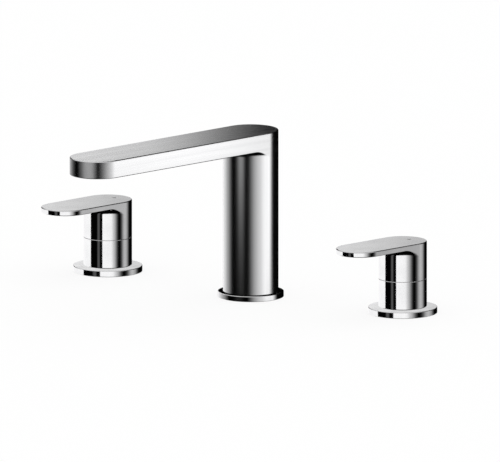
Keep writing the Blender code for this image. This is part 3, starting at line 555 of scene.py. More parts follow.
def split(tree, vector):
    """The X, Y and Z outputs of a vector."""
    node = tree.nodes.new("ShaderNodeSeparateXYZ")
    tree.links.new(vector, node.inputs["Vector"])
    return node.outputs


def scaled_noise(group, vector, scale, detail, roughness):
    """Noise texture on a vector, with its scale from a socket or a number."""
    noise = group.nodes.new("ShaderNodeTexNoise")
    noise.inputs["Detail"].default_value = detail
    noise.inputs["Roughness"].default_value = roughness
    group.links.new(vector, noise.inputs["Vector"])
    feed(group, noise.inputs["Scale"], scale)
    return noise.outputs["Fac"]


def mapped(tree, value, low, high, to_low=0.0, to_high=1.0, smooth=True):
    """Map Range node from low..high to to_low..to_high."""
    node = tree.nodes.new("ShaderNodeMapRange")
    node.interpolation_type = "SMOOTHSTEP" if smooth else "LINEAR"
    node.inputs["From Min"].default_value = low
    node.inputs["From Max"].default_value = high
    node.inputs["To Min"].default_value = to_low
    node.inputs["To Max"].default_value = to_high
    tree.links.new(value, node.inputs["Value"])
    return node.outputs["Result"]


def maths(tree, operation, first, second):
    """Output of a Math node on two outputs or numbers."""
    node = tree.nodes.new("ShaderNodeMath")
    node.operation = operation
    feed(tree, node.inputs[0], first)
    feed(tree, node.inputs[1], second)
    return node.outputs["Value"]


def blended(tree, first, second, share):
    """The first value times its share, plus the second times the rest."""
    weighted = maths(tree, "MULTIPLY", first, share)
    return maths(tree, "ADD", weighted, maths(tree, "MULTIPLY", second, 1.0 - share))


def brush_lines_group():
    """Fine lines left by a brushing belt. The vector's X runs along the lines."""
    name = "Brush lines"
    if name in bpy.data.node_groups:
        return bpy.data.node_groups[name]
    group, entry, result = effect_group(name, ("Across", "Along"), ("Lines", "Bands"))
    parts = split(group, entry.outputs["Vector"])
    fine = group.nodes.new("ShaderNodeCombineXYZ")
    for axis, scale in (("X", "Along"), ("Y", "Across"), ("Z", "Across")):
        stretched = maths(group, "MULTIPLY", parts[axis], entry.outputs[scale])
        group.links.new(stretched, fine.inputs[axis])
    lines = scaled_noise(group, fine.outputs["Vector"], scale=1.0, detail=2.0, roughness=0.6)
    bands = scaled_noise(group, fine.outputs["Vector"], scale=0.12, detail=1.0, roughness=0.5)
    group.links.new(mapped(group, lines, 0.30, 0.70), result.inputs["Lines"])
    group.links.new(mapped(group, bands, 0.30, 0.70), result.inputs["Bands"])
    return group


def water_marks_group():
    """Faint cloudy marks and a fine speckle, as on handled chrome."""
    name = "Water marks"
    if name in bpy.data.node_groups:
        return bpy.data.node_groups[name]
    group, entry, result = effect_group(name, ("Cloud scale", "Speckle scale"), ("Clouds", "Speckle"))
    vector = entry.outputs["Vector"]
    clouds = scaled_noise(group, vector, entry.outputs["Cloud scale"], detail=3.0, roughness=0.55)
    speckle = scaled_noise(group, vector, entry.outputs["Speckle scale"], detail=2.0, roughness=0.5)
    group.links.new(mapped(group, clouds, 0.35, 0.68), result.inputs["Clouds"])
    group.links.new(mapped(group, speckle, 0.35, 0.65), result.inputs["Speckle"])
    return group


def cast_grain_group():
    """Small pits and a broad tone change, as on cast, pressed or moulded pieces."""
    name = "Cast grain"
    if name in bpy.data.node_groups:
        return bpy.data.node_groups[name]
    group, entry, result = effect_group(name, ("Grain scale", "Tone scale"), ("Grain", "Tone"))
    vector = entry.outputs["Vector"]
    cells = group.nodes.new("ShaderNodeTexVoronoi")
    group.links.new(vector, cells.inputs["Vector"])
    group.links.new(entry.outputs["Grain scale"], cells.inputs["Scale"])
    tone = scaled_noise(group, vector, entry.outputs["Tone scale"], detail=4.0, roughness=0.6)
    group.links.new(mapped(group, cells.outputs["Distance"], 0.0, 0.7), result.inputs["Grain"])
    group.links.new(mapped(group, tone, 0.32, 0.68), result.inputs["Tone"])
    return group


def new_finish(name, metallic):
    """A new material, with its node tree, its principled shader and the place on the piece."""
    material = bpy.data.materials.new(name)
    material.use_nodes = True
    tree = material.node_tree
    shader = tree.nodes["Principled BSDF"]
    shader.inputs["Metallic"].default_value = metallic
    place = tree.nodes.new("ShaderNodeTexCoord")
    return material, tree, shader, place.outputs["Object"]


def placed_group(tree, group, vector, **values):
    """An effect in a material, with a value for each input; an underscore stands for a space."""
    node = tree.nodes.new("ShaderNodeGroup")
    node.node_tree = group
    tree.links.new(vector, node.inputs["Vector"])
    for label, value in values.items():
        node.inputs[label.replace("_", " ")].default_value = value
    return node


def mixed_colour(tree, factor, dark, light):
    """Colour that goes from dark to light as the factor rises."""
    node = tree.nodes.new("ShaderNodeMix")
    node.data_type = "RGBA"
    node.inputs["A"].default_value = (*dark, 1.0)
    node.inputs["B"].default_value = (*light, 1.0)
    tree.links.new(factor, node.inputs["Factor"])
    return node.outputs["Result"]


def bumped(tree, shader, height, strength, distance):
    """Gives a shader the bump of a height, with its distance in metres."""
    bump = tree.nodes.new("ShaderNodeBump")
    bump.inputs["Strength"].default_value = strength
    bump.inputs["Distance"].default_value = distance
    tree.links.new(height, bump.inputs["Height"])
    tree.links.new(bump.outputs["Normal"], shader.inputs["Normal"])


def roughened(tree, shader, value, mean, spread):
    """Roughness that falls by a share from above to below its mean as the value rises."""
    rough = mapped(tree, value, 0.0, 1.0, mean * (1.0 + spread), mean * (1.0 - spread), smooth=False)
    tree.links.new(rough, shader.inputs["Roughness"])


def shaded(colour, share):
    """A colour times a share, no brighter than white."""
    return tuple(min(1.0, channel * share) for channel in colour)


def brushed_along(tree, parts, order):
    """Brush lines that run along the first of three axes, given in order."""
    vector = tree.nodes.new("ShaderNodeCombineXYZ")
    for source, target in zip(order, "XYZ"):
        tree.links.new(parts[source], vector.inputs[target])
    group = brush_lines_group()
    return placed_group(tree, group, vector.outputs["Vector"], Across=BRUSH_ACROSS, Along=BRUSH_ALONG)


def brushed_chrome():
    """Brushed along the arm, and up and down the column."""
    name = "brushed_chrome_spout"
    if name in bpy.data.materials:
        return bpy.data.materials[name]
    settings = bpy.context.scene.bath_filler_finish
    material, tree, shader, place = new_finish(name, metallic=1.0)
    parts = split(tree, place)
    on_column = brushed_along(tree, parts, "ZXY")
    on_arm = brushed_along(tree, parts, "YXZ")
    arm_mask = mapped(tree, parts["Z"], ARM_UNDERSIDE - BRUSH_TURN_HEIGHT, ARM_UNDERSIDE)
    chosen = []
    for label in ("Lines", "Bands"):
        mix = tree.nodes.new("ShaderNodeMix")
        tree.links.new(arm_mask, mix.inputs["Factor"])
        tree.links.new(on_column.outputs[label], mix.inputs["A"])
        tree.links.new(on_arm.outputs[label], mix.inputs["B"])
        chosen.append(mix.outputs["Result"])
    fine, bands = chosen
    tone = blended(tree, fine, bands, BRUSH_FINE_SHARE)
    colour = mixed_colour(tree, tone, settings.brushed_dark, settings.brushed_light)
    tree.links.new(colour, shader.inputs["Base Color"])
    roughened(tree, shader, tone, settings.brush_roughness, spread=0.25)
    bumped(tree, shader, fine, strength=0.06, distance=0.00005)
    return material


def polished_chrome():
    """Bright chrome with faint water marks."""
    name = "polished_chrome_trim"
    if name in bpy.data.materials:
        return bpy.data.materials[name]
    settings = bpy.context.scene.bath_filler_finish
    material, tree, shader, place = new_finish(name, metallic=1.0)
    marks = placed_group(tree, water_marks_group(), place, Cloud_scale=70.0, Speckle_scale=1500.0)
    clouds = marks.outputs["Clouds"]
    speckle = marks.outputs["Speckle"]
    tone = blended(tree, clouds, speckle, CLOUD_SHARE)
    colour = mixed_colour(tree, tone, settings.polished_dark, settings.polished_light)
    tree.links.new(colour, shader.inputs["Base Color"])
    roughened(tree, shader, clouds, settings.polish_roughness, spread=0.3)
    bumped(tree, shader, speckle, strength=0.03, distance=0.00003)
    return material


def grained_finish(name, colour, metallic, roughness, grain_scale, tone_scale, pits):
    """Finish of the cast, pressed, moulded and fired pieces; pits is the strength of the grain's bump."""
    if name in bpy.data.materials:
        return bpy.data.materials[name]
    material, tree, shader, place = new_finish(name, metallic)
    group = cast_grain_group()
    grain = placed_group(tree, group, place, Grain_scale=grain_scale, Tone_scale=tone_scale)
    tone = grain.outputs["Tone"]
    dark = shaded(colour, GRAIN_DARK_SHARE)
    light = shaded(colour, GRAIN_LIGHT_SHARE)
    tree.links.new(mixed_colour(tree, tone, dark, light), shader.inputs["Base Color"])
    roughened(tree, shader, tone, roughness, spread=0.15)
    bumped(tree, shader, grain.outputs["Grain"], strength=pits, distance=0.00005)
    return material


def cast_brass():
    """The post and its socket, the tee, the valve bodies, cartridges, spindles and nuts."""
    colour = bpy.context.scene.bath_filler_finish.brass
    name = "cast_brass_fitting"
    return grained_finish(name, colour, 1.0, roughness=0.32, grain_scale=1600.0, tone_scale=110.0, pits=0.25)


def stainless_steel():
    """The clamp washers, the screws and the spindle clips."""
    colour = bpy.context.scene.bath_filler_finish.steel
    name = "stainless_steel_fastener"
    return grained_finish(name, colour, 1.0, roughness=0.34, grain_scale=2400.0, tone_scale=160.0, pits=0.10)


def black_rubber():
    """All seals and O-rings."""
    colour = bpy.context.scene.bath_filler_finish.rubber
    name = "black_rubber_seal"
    return grained_finish(name, colour, 0.0, roughness=0.70, grain_scale=2800.0, tone_scale=120.0, pits=0.30)


def white_acetal():
    """The swivel's washer, the aerator's insert and the spline adaptors."""
    colour = bpy.context.scene.bath_filler_finish.acetal
    name = "white_acetal_insert"
    return grained_finish(name, colour, 0.0, roughness=0.45, grain_scale=2200.0, tone_scale=90.0, pits=0.08)


def grey_ceramic():
    """The two discs in each valve."""
    colour = bpy.context.scene.bath_filler_finish.ceramic
    name = "grey_ceramic_disc"
    return grained_finish(name, colour, 0.0, roughness=0.20, grain_scale=3000.0, tone_scale=140.0, pits=0.05)


def spot_mask(tree, place):
    """0 in the middle of a button's face and 1 round it."""
    parts = split(tree, place)
    flat = tree.nodes.new("ShaderNodeCombineXYZ")
    for axis in "XY":
        tree.links.new(parts[axis], flat.inputs[axis])
    reach = tree.nodes.new("ShaderNodeVectorMath")
    reach.operation = "LENGTH"
    tree.links.new(flat.outputs["Vector"], reach.inputs[0])
    inner, outer = (SPOT_RADIUS * share for share in SPOT_EDGE_SHARES)
    return mapped(tree, reach.outputs["Value"], inner, outer)


def index_enamel():
    """Chrome button with a small spot of grained enamel in the middle of its face."""
    name = "index_enamel_button"
    if name in bpy.data.materials:
        return bpy.data.materials[name]
    settings = bpy.context.scene.bath_filler_finish
    material, tree, shader, place = new_finish(name, metallic=1.0)
    grain = placed_group(tree, cast_grain_group(), place, Grain_scale=2600.0, Tone_scale=200.0)
    tone = grain.outputs["Tone"]
    enamel = mixed_colour(tree, tone, shaded(settings.enamel, GRAIN_DARK_SHARE), settings.enamel)
    chrome = mixed_colour(tree, tone, settings.polished_dark, settings.polished_light)
    rim = spot_mask(tree, place)
    mix = tree.nodes.new("ShaderNodeMix")
    mix.data_type = "RGBA"
    tree.links.new(rim, mix.inputs["Factor"])
    tree.links.new(enamel, mix.inputs["A"])
    tree.links.new(chrome, mix.inputs["B"])
    tree.links.new(mix.outputs["Result"], shader.inputs["Base Color"])
    tree.links.new(rim, shader.inputs["Metallic"])
    rough = mapped(tree, rim, 0.0, 1.0, to_low=0.30, to_high=0.08, smooth=False)
    tree.links.new(rough, shader.inputs["Roughness"])
    shader.inputs["Specular IOR Level"].default_value = 0.1
    bumped(tree, shader, grain.outputs["Grain"], strength=0.03, distance=0.00003)
    return material


FINISHES = {
    "brushed_chrome": brushed_chrome,
    "polished_chrome": polished_chrome,
    "cast_brass": cast_brass,
    "stainless_steel": stainless_steel,
    "black_rubber": black_rubber,
    "white_acetal": white_acetal,
    "grey_ceramic": grey_ceramic,
    "index_enamel": index_enamel,
}

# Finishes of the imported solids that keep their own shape, by the ends of their names
KEPT_SOLIDS = {
    "cast_brass": (
        "spout_post",
        "swivel_socket",
        "inlet_tee",
        "lock_nut",
        "valve_body",
        "cartridge_body",
        "_spindle",
    ),
    "stainless_steel": ("clamp_washer", "limit_screw", "grub_screw", "spindle_clip"),
    "black_rubber": (
        "clamp_seal",
        "o_ring_lower",
        "o_ring_upper",
        "o_ring",
        "tee_seal",
        "seat_seal",
        "aerator_seal",
    ),
    "white_acetal": ("swivel_washer", "aerator_insert", "spline_adaptor"),
    "grey_ceramic": ("fixed_disc", "moving_disc"),
}


class BATHFILLER_OT_spout(bpy.types.Operator):
    """Build the brushed column and arm in one casting, hollow inside"""

    bl_idname = "bath_filler.spout"
    bl_label = "Spout"

    def execute(self, context):
        sizes = context.scene.bath_filler_spout
        shell = arm_on_column(
            COLUMN_RADIUS,
            SPOUT_REACH,
            SPOUT_LOW.z,
            SPOUT_HIGH.z,
            SPOUT_HIGH.z - ARM_UNDERSIDE,
            sizes.fillet,
        )
        round_edges(shell, sizes.edge_round, ARM_UNDERSIDE - sizes.fillet)
        spout = mesh_object("spout_casting", shell)

        waterway = arm_on_column(
            COLUMN_RADIUS - sizes.wall,
            SPOUT_REACH,
            SPOUT_LOW.z - OVERRUN,
            SPOUT_HIGH.z - sizes.wall,
            SPOUT_HIGH.z - ARM_UNDERSIDE - 2 * sizes.wall,
            sizes.fillet + sizes.wall,
        )
        tip = (0.0, -SPOUT_REACH)
        mouth = AERATOR_RADIUS + GAP
        ledge = node_radius("aerator_seal") - OUTLET_LEDGE_WIDTH
        boss_top = OUTLET_LEDGE + OUTLET_ROOF
        boss_radius = mouth + OUTLET_LEDGE_WIDTH
        boss_foot = ARM_UNDERSIDE + sizes.wall / 2
        boss = turned_solid(((boss_radius, boss_foot), (boss_radius, boss_top)))
        outlet = turned_solid(
            (
                (mouth, ARM_UNDERSIDE - OVERRUN),
                (mouth, OUTLET_LEDGE),
                (ledge, OUTLET_LEDGE),
                (ledge, boss_top + OVERRUN),
            )
        )
        start = COLUMN_RADIUS - 2 * sizes.wall
        hole = rod_along_y(LIMIT_RADIUS + GAP, start, COLUMN_RADIUS + OVERRUN, LIMIT_HEIGHT)
        carve(
            spout,
            (
                ("DIFFERENCE", waterway, (0.0, 0.0)),
                ("UNION", boss, tip),
                ("DIFFERENCE", outlet, tip),
                ("DIFFERENCE", hole, (0.0, 0.0)),
            ),
        )
        finish_piece(spout, "spout", "brushed_chrome", "spout_body")
        return {"FINISHED"}


class BATHFILLER_OT_aerator(bpy.types.Operator):
    """Build the aerator's housing in the mouth under the arm's tip"""

    bl_idname = "bath_filler.aerator"
    bl_label = "Aerator housing"

    def execute(self, context):
        bore = node_radius("aerator_insert") + GAP
        lip = bore - AERATOR_LIP
        foot = AERATOR_LOW.z
        outline = (
            (lip, foot, TINY_ROUND),
            (AERATOR_RADIUS, foot, 2 * TINY_ROUND),
            (AERATOR_RADIUS, AERATOR_HIGH.z, TINY_ROUND),
            (bore, AERATOR_HIGH.z, TINY_ROUND),
            (bore, foot + AERATOR_LIP, 0.0),
            (lip, foot + AERATOR_LIP, TINY_ROUND),
        )
        housing = mesh_object("aerator_ring", turned_tube(outline), (0.0, -SPOUT_REACH))
        finish_piece(housing, "spout", "polished_chrome", "aerator_housing")
        return {"FINISHED"}


def clamp_bore(side):
    """Radius of the hole in the discs that stand round a shank, from its clamp seal."""
    return node_radius(f"{side}_clamp_seal") - CLAMP_SEAL_WIDTH


def skirted_disc(inner, outer, low, high, edge):
    """Disc on a seal, with a narrow skirt that hides the seal and stops just above the deck."""
    step = outer - SKIRT_WIDTH
    outline = (
        (inner, low, 0.0),
        (step, low, 0.0),
        (step, SKIRT_CLEARANCE, 0.0),
        (outer, SKIRT_CLEARANCE, TINY_ROUND),
        (outer, high, edge),
        (inner, high, 0.0),
    )
    return turned_tube(outline)


def sheltered_seal(inner, disc_radius, node):
    """Flat seal of a node's height, inside the skirt of the disc above it."""
    low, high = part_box(node)
    outer = disc_radius - SKIRT_WIDTH - TINY_ROUND
    return turned_tube(
        (
            (inner, low.z, 0.0),
            (outer, low.z, TINY_ROUND),
            (outer, high.z, TINY_ROUND),
            (inner, high.z, 0.0),
        )
    )


def valve_place(side):
    """Where a valve's axis stands, from its flange."""
    return node_centre(f"{side}_flange")


class BATHFILLER_OT_base_ring(bpy.types.Operator):
    """Build the low ring and the deck seal under the column"""

    bl_idname = "bath_filler.base_ring"
    bl_label = "Base ring"

    def execute(self, context):
        sizes = context.scene.bath_filler_spout
        inner = clamp_bore("spout")
        disc = skirted_disc(inner, RING_HIGH.x, RING_LOW.z, RING_HIGH.z, sizes.ring_edge_round)
        ring = mesh_object("base_ring", disc)
        finish_piece(ring, "deck_side", "polished_chrome", "spout_base_ring")
        seal = mesh_object("base_seal", sheltered_seal(inner, RING_HIGH.x, "spout_deck_seal"))
        finish_piece(seal, "deck_side", "black_rubber", "spout_deck_seal")
        return {"FINISHED"}


def flange_disc(side, sizes):
    """Low round disc of a valve on its deck seal."""
    low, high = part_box(f"{side}_flange")
    radius = node_radius(f"{side}_flange")
    return skirted_disc(clamp_bore(side), radius, low.z, high.z, sizes.flange_round)


def fixed_sleeve(side, sizes):
    """Thin round sleeve with a web across its top, and a deeper rounding at its foot."""
    low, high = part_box(f"{side}_sleeve")
    radius = node_radius(f"{side}_sleeve")
    bore = radius - SLEEVE_WALL
    edge = sizes.joint_round
    web = high.z - sizes.sleeve_web
    outline = (
        (bore, low.z, 0.0),
        (radius, low.z, 3 * edge),
        (radius, high.z, edge),
        (SPINDLE_HOLE, high.z, edge / 2),
        (SPINDLE_HOLE, web, 0.0),
        (bore, web, 0.0),
    )
    return turned_tube(outline)


class BATHFILLER_OT_valve_trims(bpy.types.Operator):
    """Build the deck seal, flange and fixed sleeve of both valves"""

    bl_idname = "bath_filler.valve_trims"
    bl_label = "Flanges and sleeves"

    def execute(self, context):
        sizes = context.scene.bath_filler_handle
        for side in ("hot", "cold"):
            place = valve_place(side)
            flange = mesh_object(f"{side}_flange_trim", flange_disc(side, sizes), place)
            finish_piece(flange, "deck_side", "polished_chrome", f"{side}_flange")

            node = f"{side}_deck_seal"
            ring = sheltered_seal(clamp_bore(side), node_radius(f"{side}_flange"), node)
            seal = mesh_object(f"{side}_seal_trim", ring, place)
            finish_piece(seal, "deck_side", "black_rubber", node)

            sleeve = mesh_object(f"{side}_sleeve_trim", fixed_sleeve(side, sizes), place)
            finish_piece(sleeve, "deck_side", "polished_chrome", f"{side}_sleeve")
        return {"FINISHED"}


def button_place(side):
    """Where a button's axis stands on its lever."""
    return (valve_place(side)[0], node_centre(f"{side}_index_button")[1])


def adaptor_bore(side):
    """Radius of a lever's bore for its spline adaptor, whose solid has a corner at +X and none at -X."""
    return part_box(f"{side}_spline_adaptor")[1].x - valve_place(side)[0] + GAP


def hub_hollow(side, radius, sizes):
    """Cutter for the space round the cartridge, which leaves a boss for the spline adaptor."""
    low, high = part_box(f"{side}_lever")
    adaptor_low, adaptor_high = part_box(f"{side}_spline_adaptor")
    inner = radius - sizes.hub_wall
    bore = adaptor_bore(side)
    boss = bore + sizes.boss_wall
    roof = high.z - sizes.hub_roof
    boss_foot = adaptor_low.z - GAP
    return turned_solid(
        (
            (inner, low.z - OVERRUN),
            (inner, roof),
            (boss, roof),
            (boss, boss_foot),
            (bore, boss_foot),
            (bore, adaptor_high.z + GAP),
        )
    )


def grub_screw_hole(side, radius):
    """Cutter from the hub's back into the adaptor's bore."""
    low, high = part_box(f"{side}_lever_grub_screw")
    hole = node_radius(f"{side}_lever_grub_screw") + GAP
    return rod_along_y(hole, adaptor_bore(side) / 2, radius + OVERRUN, (low.z + high.z) / 2)


def button_seat(side, top):
    """Cutter for the recess that holds the button."""
    seat = node_radius(f"{side}_index_button") + BUTTON_GAP
    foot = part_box(f"{side}_index_button")[0].z - GAP
    return turned_solid(((seat, foot), (seat, top + OVERRUN)), SCREW_STEPS)


def button_crown(side):
    """Short round button whose face drops a little towards its rim."""
    low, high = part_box(f"{side}_index_button")
    radius = node_radius(f"{side}_index_button")
    outline = [(radius, low.z)]
    for across, drop in CROWN_SHARES:
        outline.append((radius * across, high.z - TINY_ROUND * drop))
    return turned_solid(outline, SCREW_STEPS)


class BATHFILLER_OT_levers(bpy.types.Operator):
    """Build the hub and flat lever of both valves, with the small button on top"""

    bl_idname = "bath_filler.levers"
    bl_label = "Levers"

    def execute(self, context):
        sizes = context.scene.bath_filler_handle
        for side in ("hot", "cold"):
            place = valve_place(side)
            low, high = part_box(f"{side}_lever")
            radius = node_radius(f"{side}_lever")
            reach = place[1] - low.y - radius
            shell = arm_on_column(radius, reach, low.z, high.z, sizes.thickness, sizes.fillet)
            round_edges(shell, sizes.edge_round, high.z - sizes.thickness - sizes.fillet)
            lever = mesh_object(f"{side}_lever_casting", shell, place)
            carve(
                lever,
                (
                    ("DIFFERENCE", hub_hollow(side, radius, sizes), place),
                    ("DIFFERENCE", grub_screw_hole(side, radius), place),
                    ("DIFFERENCE", button_seat(side, high.z), button_place(side)),
                ),
            )
            finish_piece(lever, f"{side}_handle", "polished_chrome", f"{side}_lever")

            button = mesh_object(f"{side}_index_dot", button_crown(side), button_place(side))
            finish_piece(button, f"{side}_handle", "index_enamel", f"{side}_index_button")
        return {"FINISHED"}


class BATHFILLER_OT_fittings(bpy.types.Operator):
    """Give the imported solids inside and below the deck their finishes"""

    bl_idname = "bath_filler.fittings"
    bl_label = "Fittings inside and below"

    def execute(self, context):
        for name, obj in frame["nodes"].items():
            if obj.hide_render:
                continue
            slots = [s for s, ends in KEPT_SOLIDS.items() if name.endswith(ends)]
            if len(slots) != 1:
                raise RuntimeError(f"no single finish for the packed solid {name}: {slots}")
            obj.data.materials.clear()
            obj.data.materials.append(FINISHES[slots[0]]())
            obj.visible_glossy = False
        return {"FINISHED"}


def heading(angle):
    """Level direction at an angle from the camera's side, growing towards the picture's right."""
    turn = math.radians(angle)
    return TOWARDS_CAMERA * math.cos(turn) + IMAGE_RIGHT * math.sin(turn)


def lit_pieces(name, starts):
    """Collection of the pieces whose names start as given, for the lamps that light them alone."""
    collection = bpy.data.collections.new(name)
    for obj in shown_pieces():
        if obj.name.startswith(starts):
            collection.objects.link(obj)
    return collection


def lamp_tree(lamp, across, upwards):
    """Makes a lamp fade across its width and up its height; stops are (place from 0 to 1, level)."""
    lamp.use_nodes = True
    tree = lamp.node_tree
    tree.nodes.clear()
    output = tree.nodes.new("ShaderNodeOutputLight")
    emission = tree.nodes.new("ShaderNodeEmission")
    geometry = tree.nodes.new("ShaderNodeNewGeometry")
    parts = split(tree, geometry.outputs["Parametric"])
    levels = []
    for stops, axis in ((across, "X"), (upwards, "Y")):
        ramp = tree.nodes.new("ShaderNodeValToRGB")
        elements = ramp.color_ramp.elements
        elements[0].position = stops[0][0]
        elements[1].position = stops[-1][0]
        for place, _ in stops[1:-1]:
            elements.new(place)
        for element, (_, level) in zip(elements, stops):
            element.color = (level, level, level, 1.0)
        tree.links.new(parts[axis], ramp.inputs["Fac"])
        levels.append(ramp.outputs["Color"])
    product = maths(tree, "MULTIPLY", levels[0], levels[1])
    tree.links.new(product, emission.inputs["Strength"])
    tree.links.new(emission.outputs["Emission"], output.inputs["Surface"])


def studio_card(name, seen_by, facing, distance, stops, heights, foot=(0.0, 0.0)):
    """Upright lamp that only some pieces see, on a plane at a heading and distance from a foot point.

    Its stops are (heading, level) seen from that point, and its heights are (height, level).
    """
    sides = [distance * math.tan(math.radians(angle - facing)) for angle, _ in stops]
    width = sides[-1] - sides[0]
    low = heights[0][0]
    tall = heights[-1][0] - low
    lamp = bpy.data.lights.new(name, "AREA")
    lamp.shape = "RECTANGLE"
    lamp.size = width
    lamp.size_y = tall
    lamp.energy = CARD_WATTS * width * tall
    across = [((side - sides[0]) / width, stop[1]) for side, stop in zip(sides, stops)]
    upwards = [((height - low) / tall, level) for height, level in heights]
    lamp_tree(lamp, across, upwards)
    obj = link(bpy.data.objects.new(name, lamp))
    middle = heading(facing) * distance + heading(facing + 90.0) * (sides[0] + sides[-1]) / 2
    obj.location = Vector((foot[0], foot[1], low + tall / 2)) + middle
    obj.rotation_mode = "QUATERNION"
    obj.rotation_quaternion = (-heading(facing)).to_track_quat("-Z", "Y")
    obj.visible_camera = False
    obj.light_linking.receiver_collection = seen_by
    return obj


def build_floor(settings):
    """Square floor, mostly plain white to the camera, that gloss does not see."""
    half = settings.floor_size / 2
    bm = bmesh.new()
    corners = ((-half, -half), (half, -half), (half, half), (-half, half))
    bm.faces.new([bm.verts.new((x, y, 0.0)) for x, y in corners])
    floor = mesh_object("floor", bm)
    material, tree, shader, _ = new_finish("plain_floor", metallic=0.0)
    shader.inputs["Base Color"].default_value = (*settings.floor_colour, 1.0)
    shader.inputs["Roughness"].default_value = 1.0
    shader.inputs["Specular IOR Level"].default_value = 0.0
    glow = tree.nodes.new("ShaderNodeEmission")
    glow.inputs["Color"].default_value = (1.0, 1.0, 1.0, 1.0)
    glow.inputs["Strength"].default_value = 1.0
    path = tree.nodes.new("ShaderNodeLightPath")
    seen = maths(tree, "MAXIMUM", path.outputs["Is Camera Ray"], path.outputs["Is Glossy Ray"])
    seen = maths(tree, "MAXIMUM", seen, path.outputs["Is Transmission Ray"])
    share = maths(tree, "MULTIPLY", seen, settings.floor_glow)
    mix = tree.nodes.new("ShaderNodeMixShader")
    tree.links.new(share, mix.inputs["Fac"])
    tree.links.new(shader.outputs["BSDF"], mix.inputs[1])
    tree.links.new(glow.outputs["Emission"], mix.inputs[2])
    tree.links.new(mix.outputs["Shader"], tree.nodes["Material Output"].inputs["Surface"])
    floor.data.materials.append(material)
    floor.visible_glossy = False
    floor.visible_shadow = False
    floor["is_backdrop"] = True


def build_camera(settings):
    """Parallel view, because the photograph's edges do not draw together with distance."""
    data = bpy.data.cameras.new("photo_view")
    data.type = "ORTHO"
    data.ortho_scale = settings.frame_width
    back = TOWARDS_CAMERA * math.cos(VIEW_ELEVATION)
    back += Vector((0.0, 0.0, math.sin(VIEW_ELEVATION)))
    camera = link(bpy.data.objects.new("photo_view", data))
    aim = IMAGE_RIGHT * settings.aim_aside + Vector((0.0, 0.0, settings.aim_height))
    camera.location = aim + back * CAMERA_DISTANCE
    camera.rotation_mode = "QUATERNION"
    camera.rotation_quaternion = (-back).to_track_quat("-Z", "Y")
    bpy.context.scene.camera = camera


def by_angle(tree, rise, angles, to_low, to_high):
    """Value that changes between two angles above the horizon, given the rise of the direction."""
    low, high = (math.sin(math.radians(angle)) for angle in angles)
    return mapped(tree, rise, low, high, to_low, to_high)


def dark_flag(tree, direction, facing, lift, outer, inner):
    """1 within the inner angle round a direction, given by heading and lift, and 0 beyond the outer one."""
    towards = tree.nodes.new("ShaderNodeVectorMath")
    towards.operation = "DOT_PRODUCT"
    rise = math.radians(lift)
    middle = heading(facing) * math.cos(rise) + Vector((0.0, 0.0, math.sin(rise)))
    towards.inputs[1].default_value = middle
    tree.links.new(direction, towards.inputs[0])
    edges = (math.cos(math.radians(outer)), math.cos(math.radians(inner)))
    return mapped(tree, towards.outputs["Value"], *edges)


def room_level(tree):
    """How bright the room is to gloss: a bright sky with two dark flags over a dark floor."""
    place = tree.nodes.new("ShaderNodeTexCoord")
    direction = place.outputs["Generated"]
    rise = split(tree, direction)["Z"]
    foot = by_angle(tree, rise, SKY_FOOT, 0.0, SKY_FOOT_LEVEL)
    dome = by_angle(tree, rise, SKY_DOME, 0.0, SKY_DOME_LEVEL)
    sky = maths(tree, "ADD", foot, dome)
    below = by_angle(tree, rise, LOW_FLAG_TOP, 1.0, 0.0)
    low_flag = maths(tree, "MULTIPLY", dark_flag(tree, direction, *LOW_FLAG), below)
    flags = maths(tree, "MAXIMUM", low_flag, dark_flag(tree, direction, *HIGH_FLAG))
    shown = maths(tree, "MULTIPLY", sky, maths(tree, "SUBTRACT", 1.0, flags))
    return maths(tree, "ADD", shown, ROOM_LEVEL)


def build_surroundings():
    """White to the camera and to matt surfaces; to gloss, a bright sky over a dark room."""
    world = bpy.data.worlds.new("studio_room")
    bpy.context.scene.world = world
    world.use_nodes = True
    world.cycles.sampling_method = "NONE"
    tree = world.node_tree
    tree.nodes.clear()
    output = tree.nodes.new("ShaderNodeOutputWorld")
    plain = tree.nodes.new("ShaderNodeBackground")
    plain.inputs["Color"].default_value = (1.0, 1.0, 1.0, 1.0)
    plain.inputs["Strength"].default_value = 1.0
    room = tree.nodes.new("ShaderNodeBackground")
    chooser = tree.nodes.new("ShaderNodeMixShader")
    path = tree.nodes.new("ShaderNodeLightPath")
    tree.links.new(path.outputs["Is Glossy Ray"], chooser.inputs["Fac"])
    tree.links.new(plain.outputs["Background"], chooser.inputs[1])
    tree.links.new(room.outputs["Background"], chooser.inputs[2])
    tree.links.new(chooser.outputs["Shader"], output.inputs["Surface"])
    tree.links.new(room_level(tree), room.inputs["Strength"])


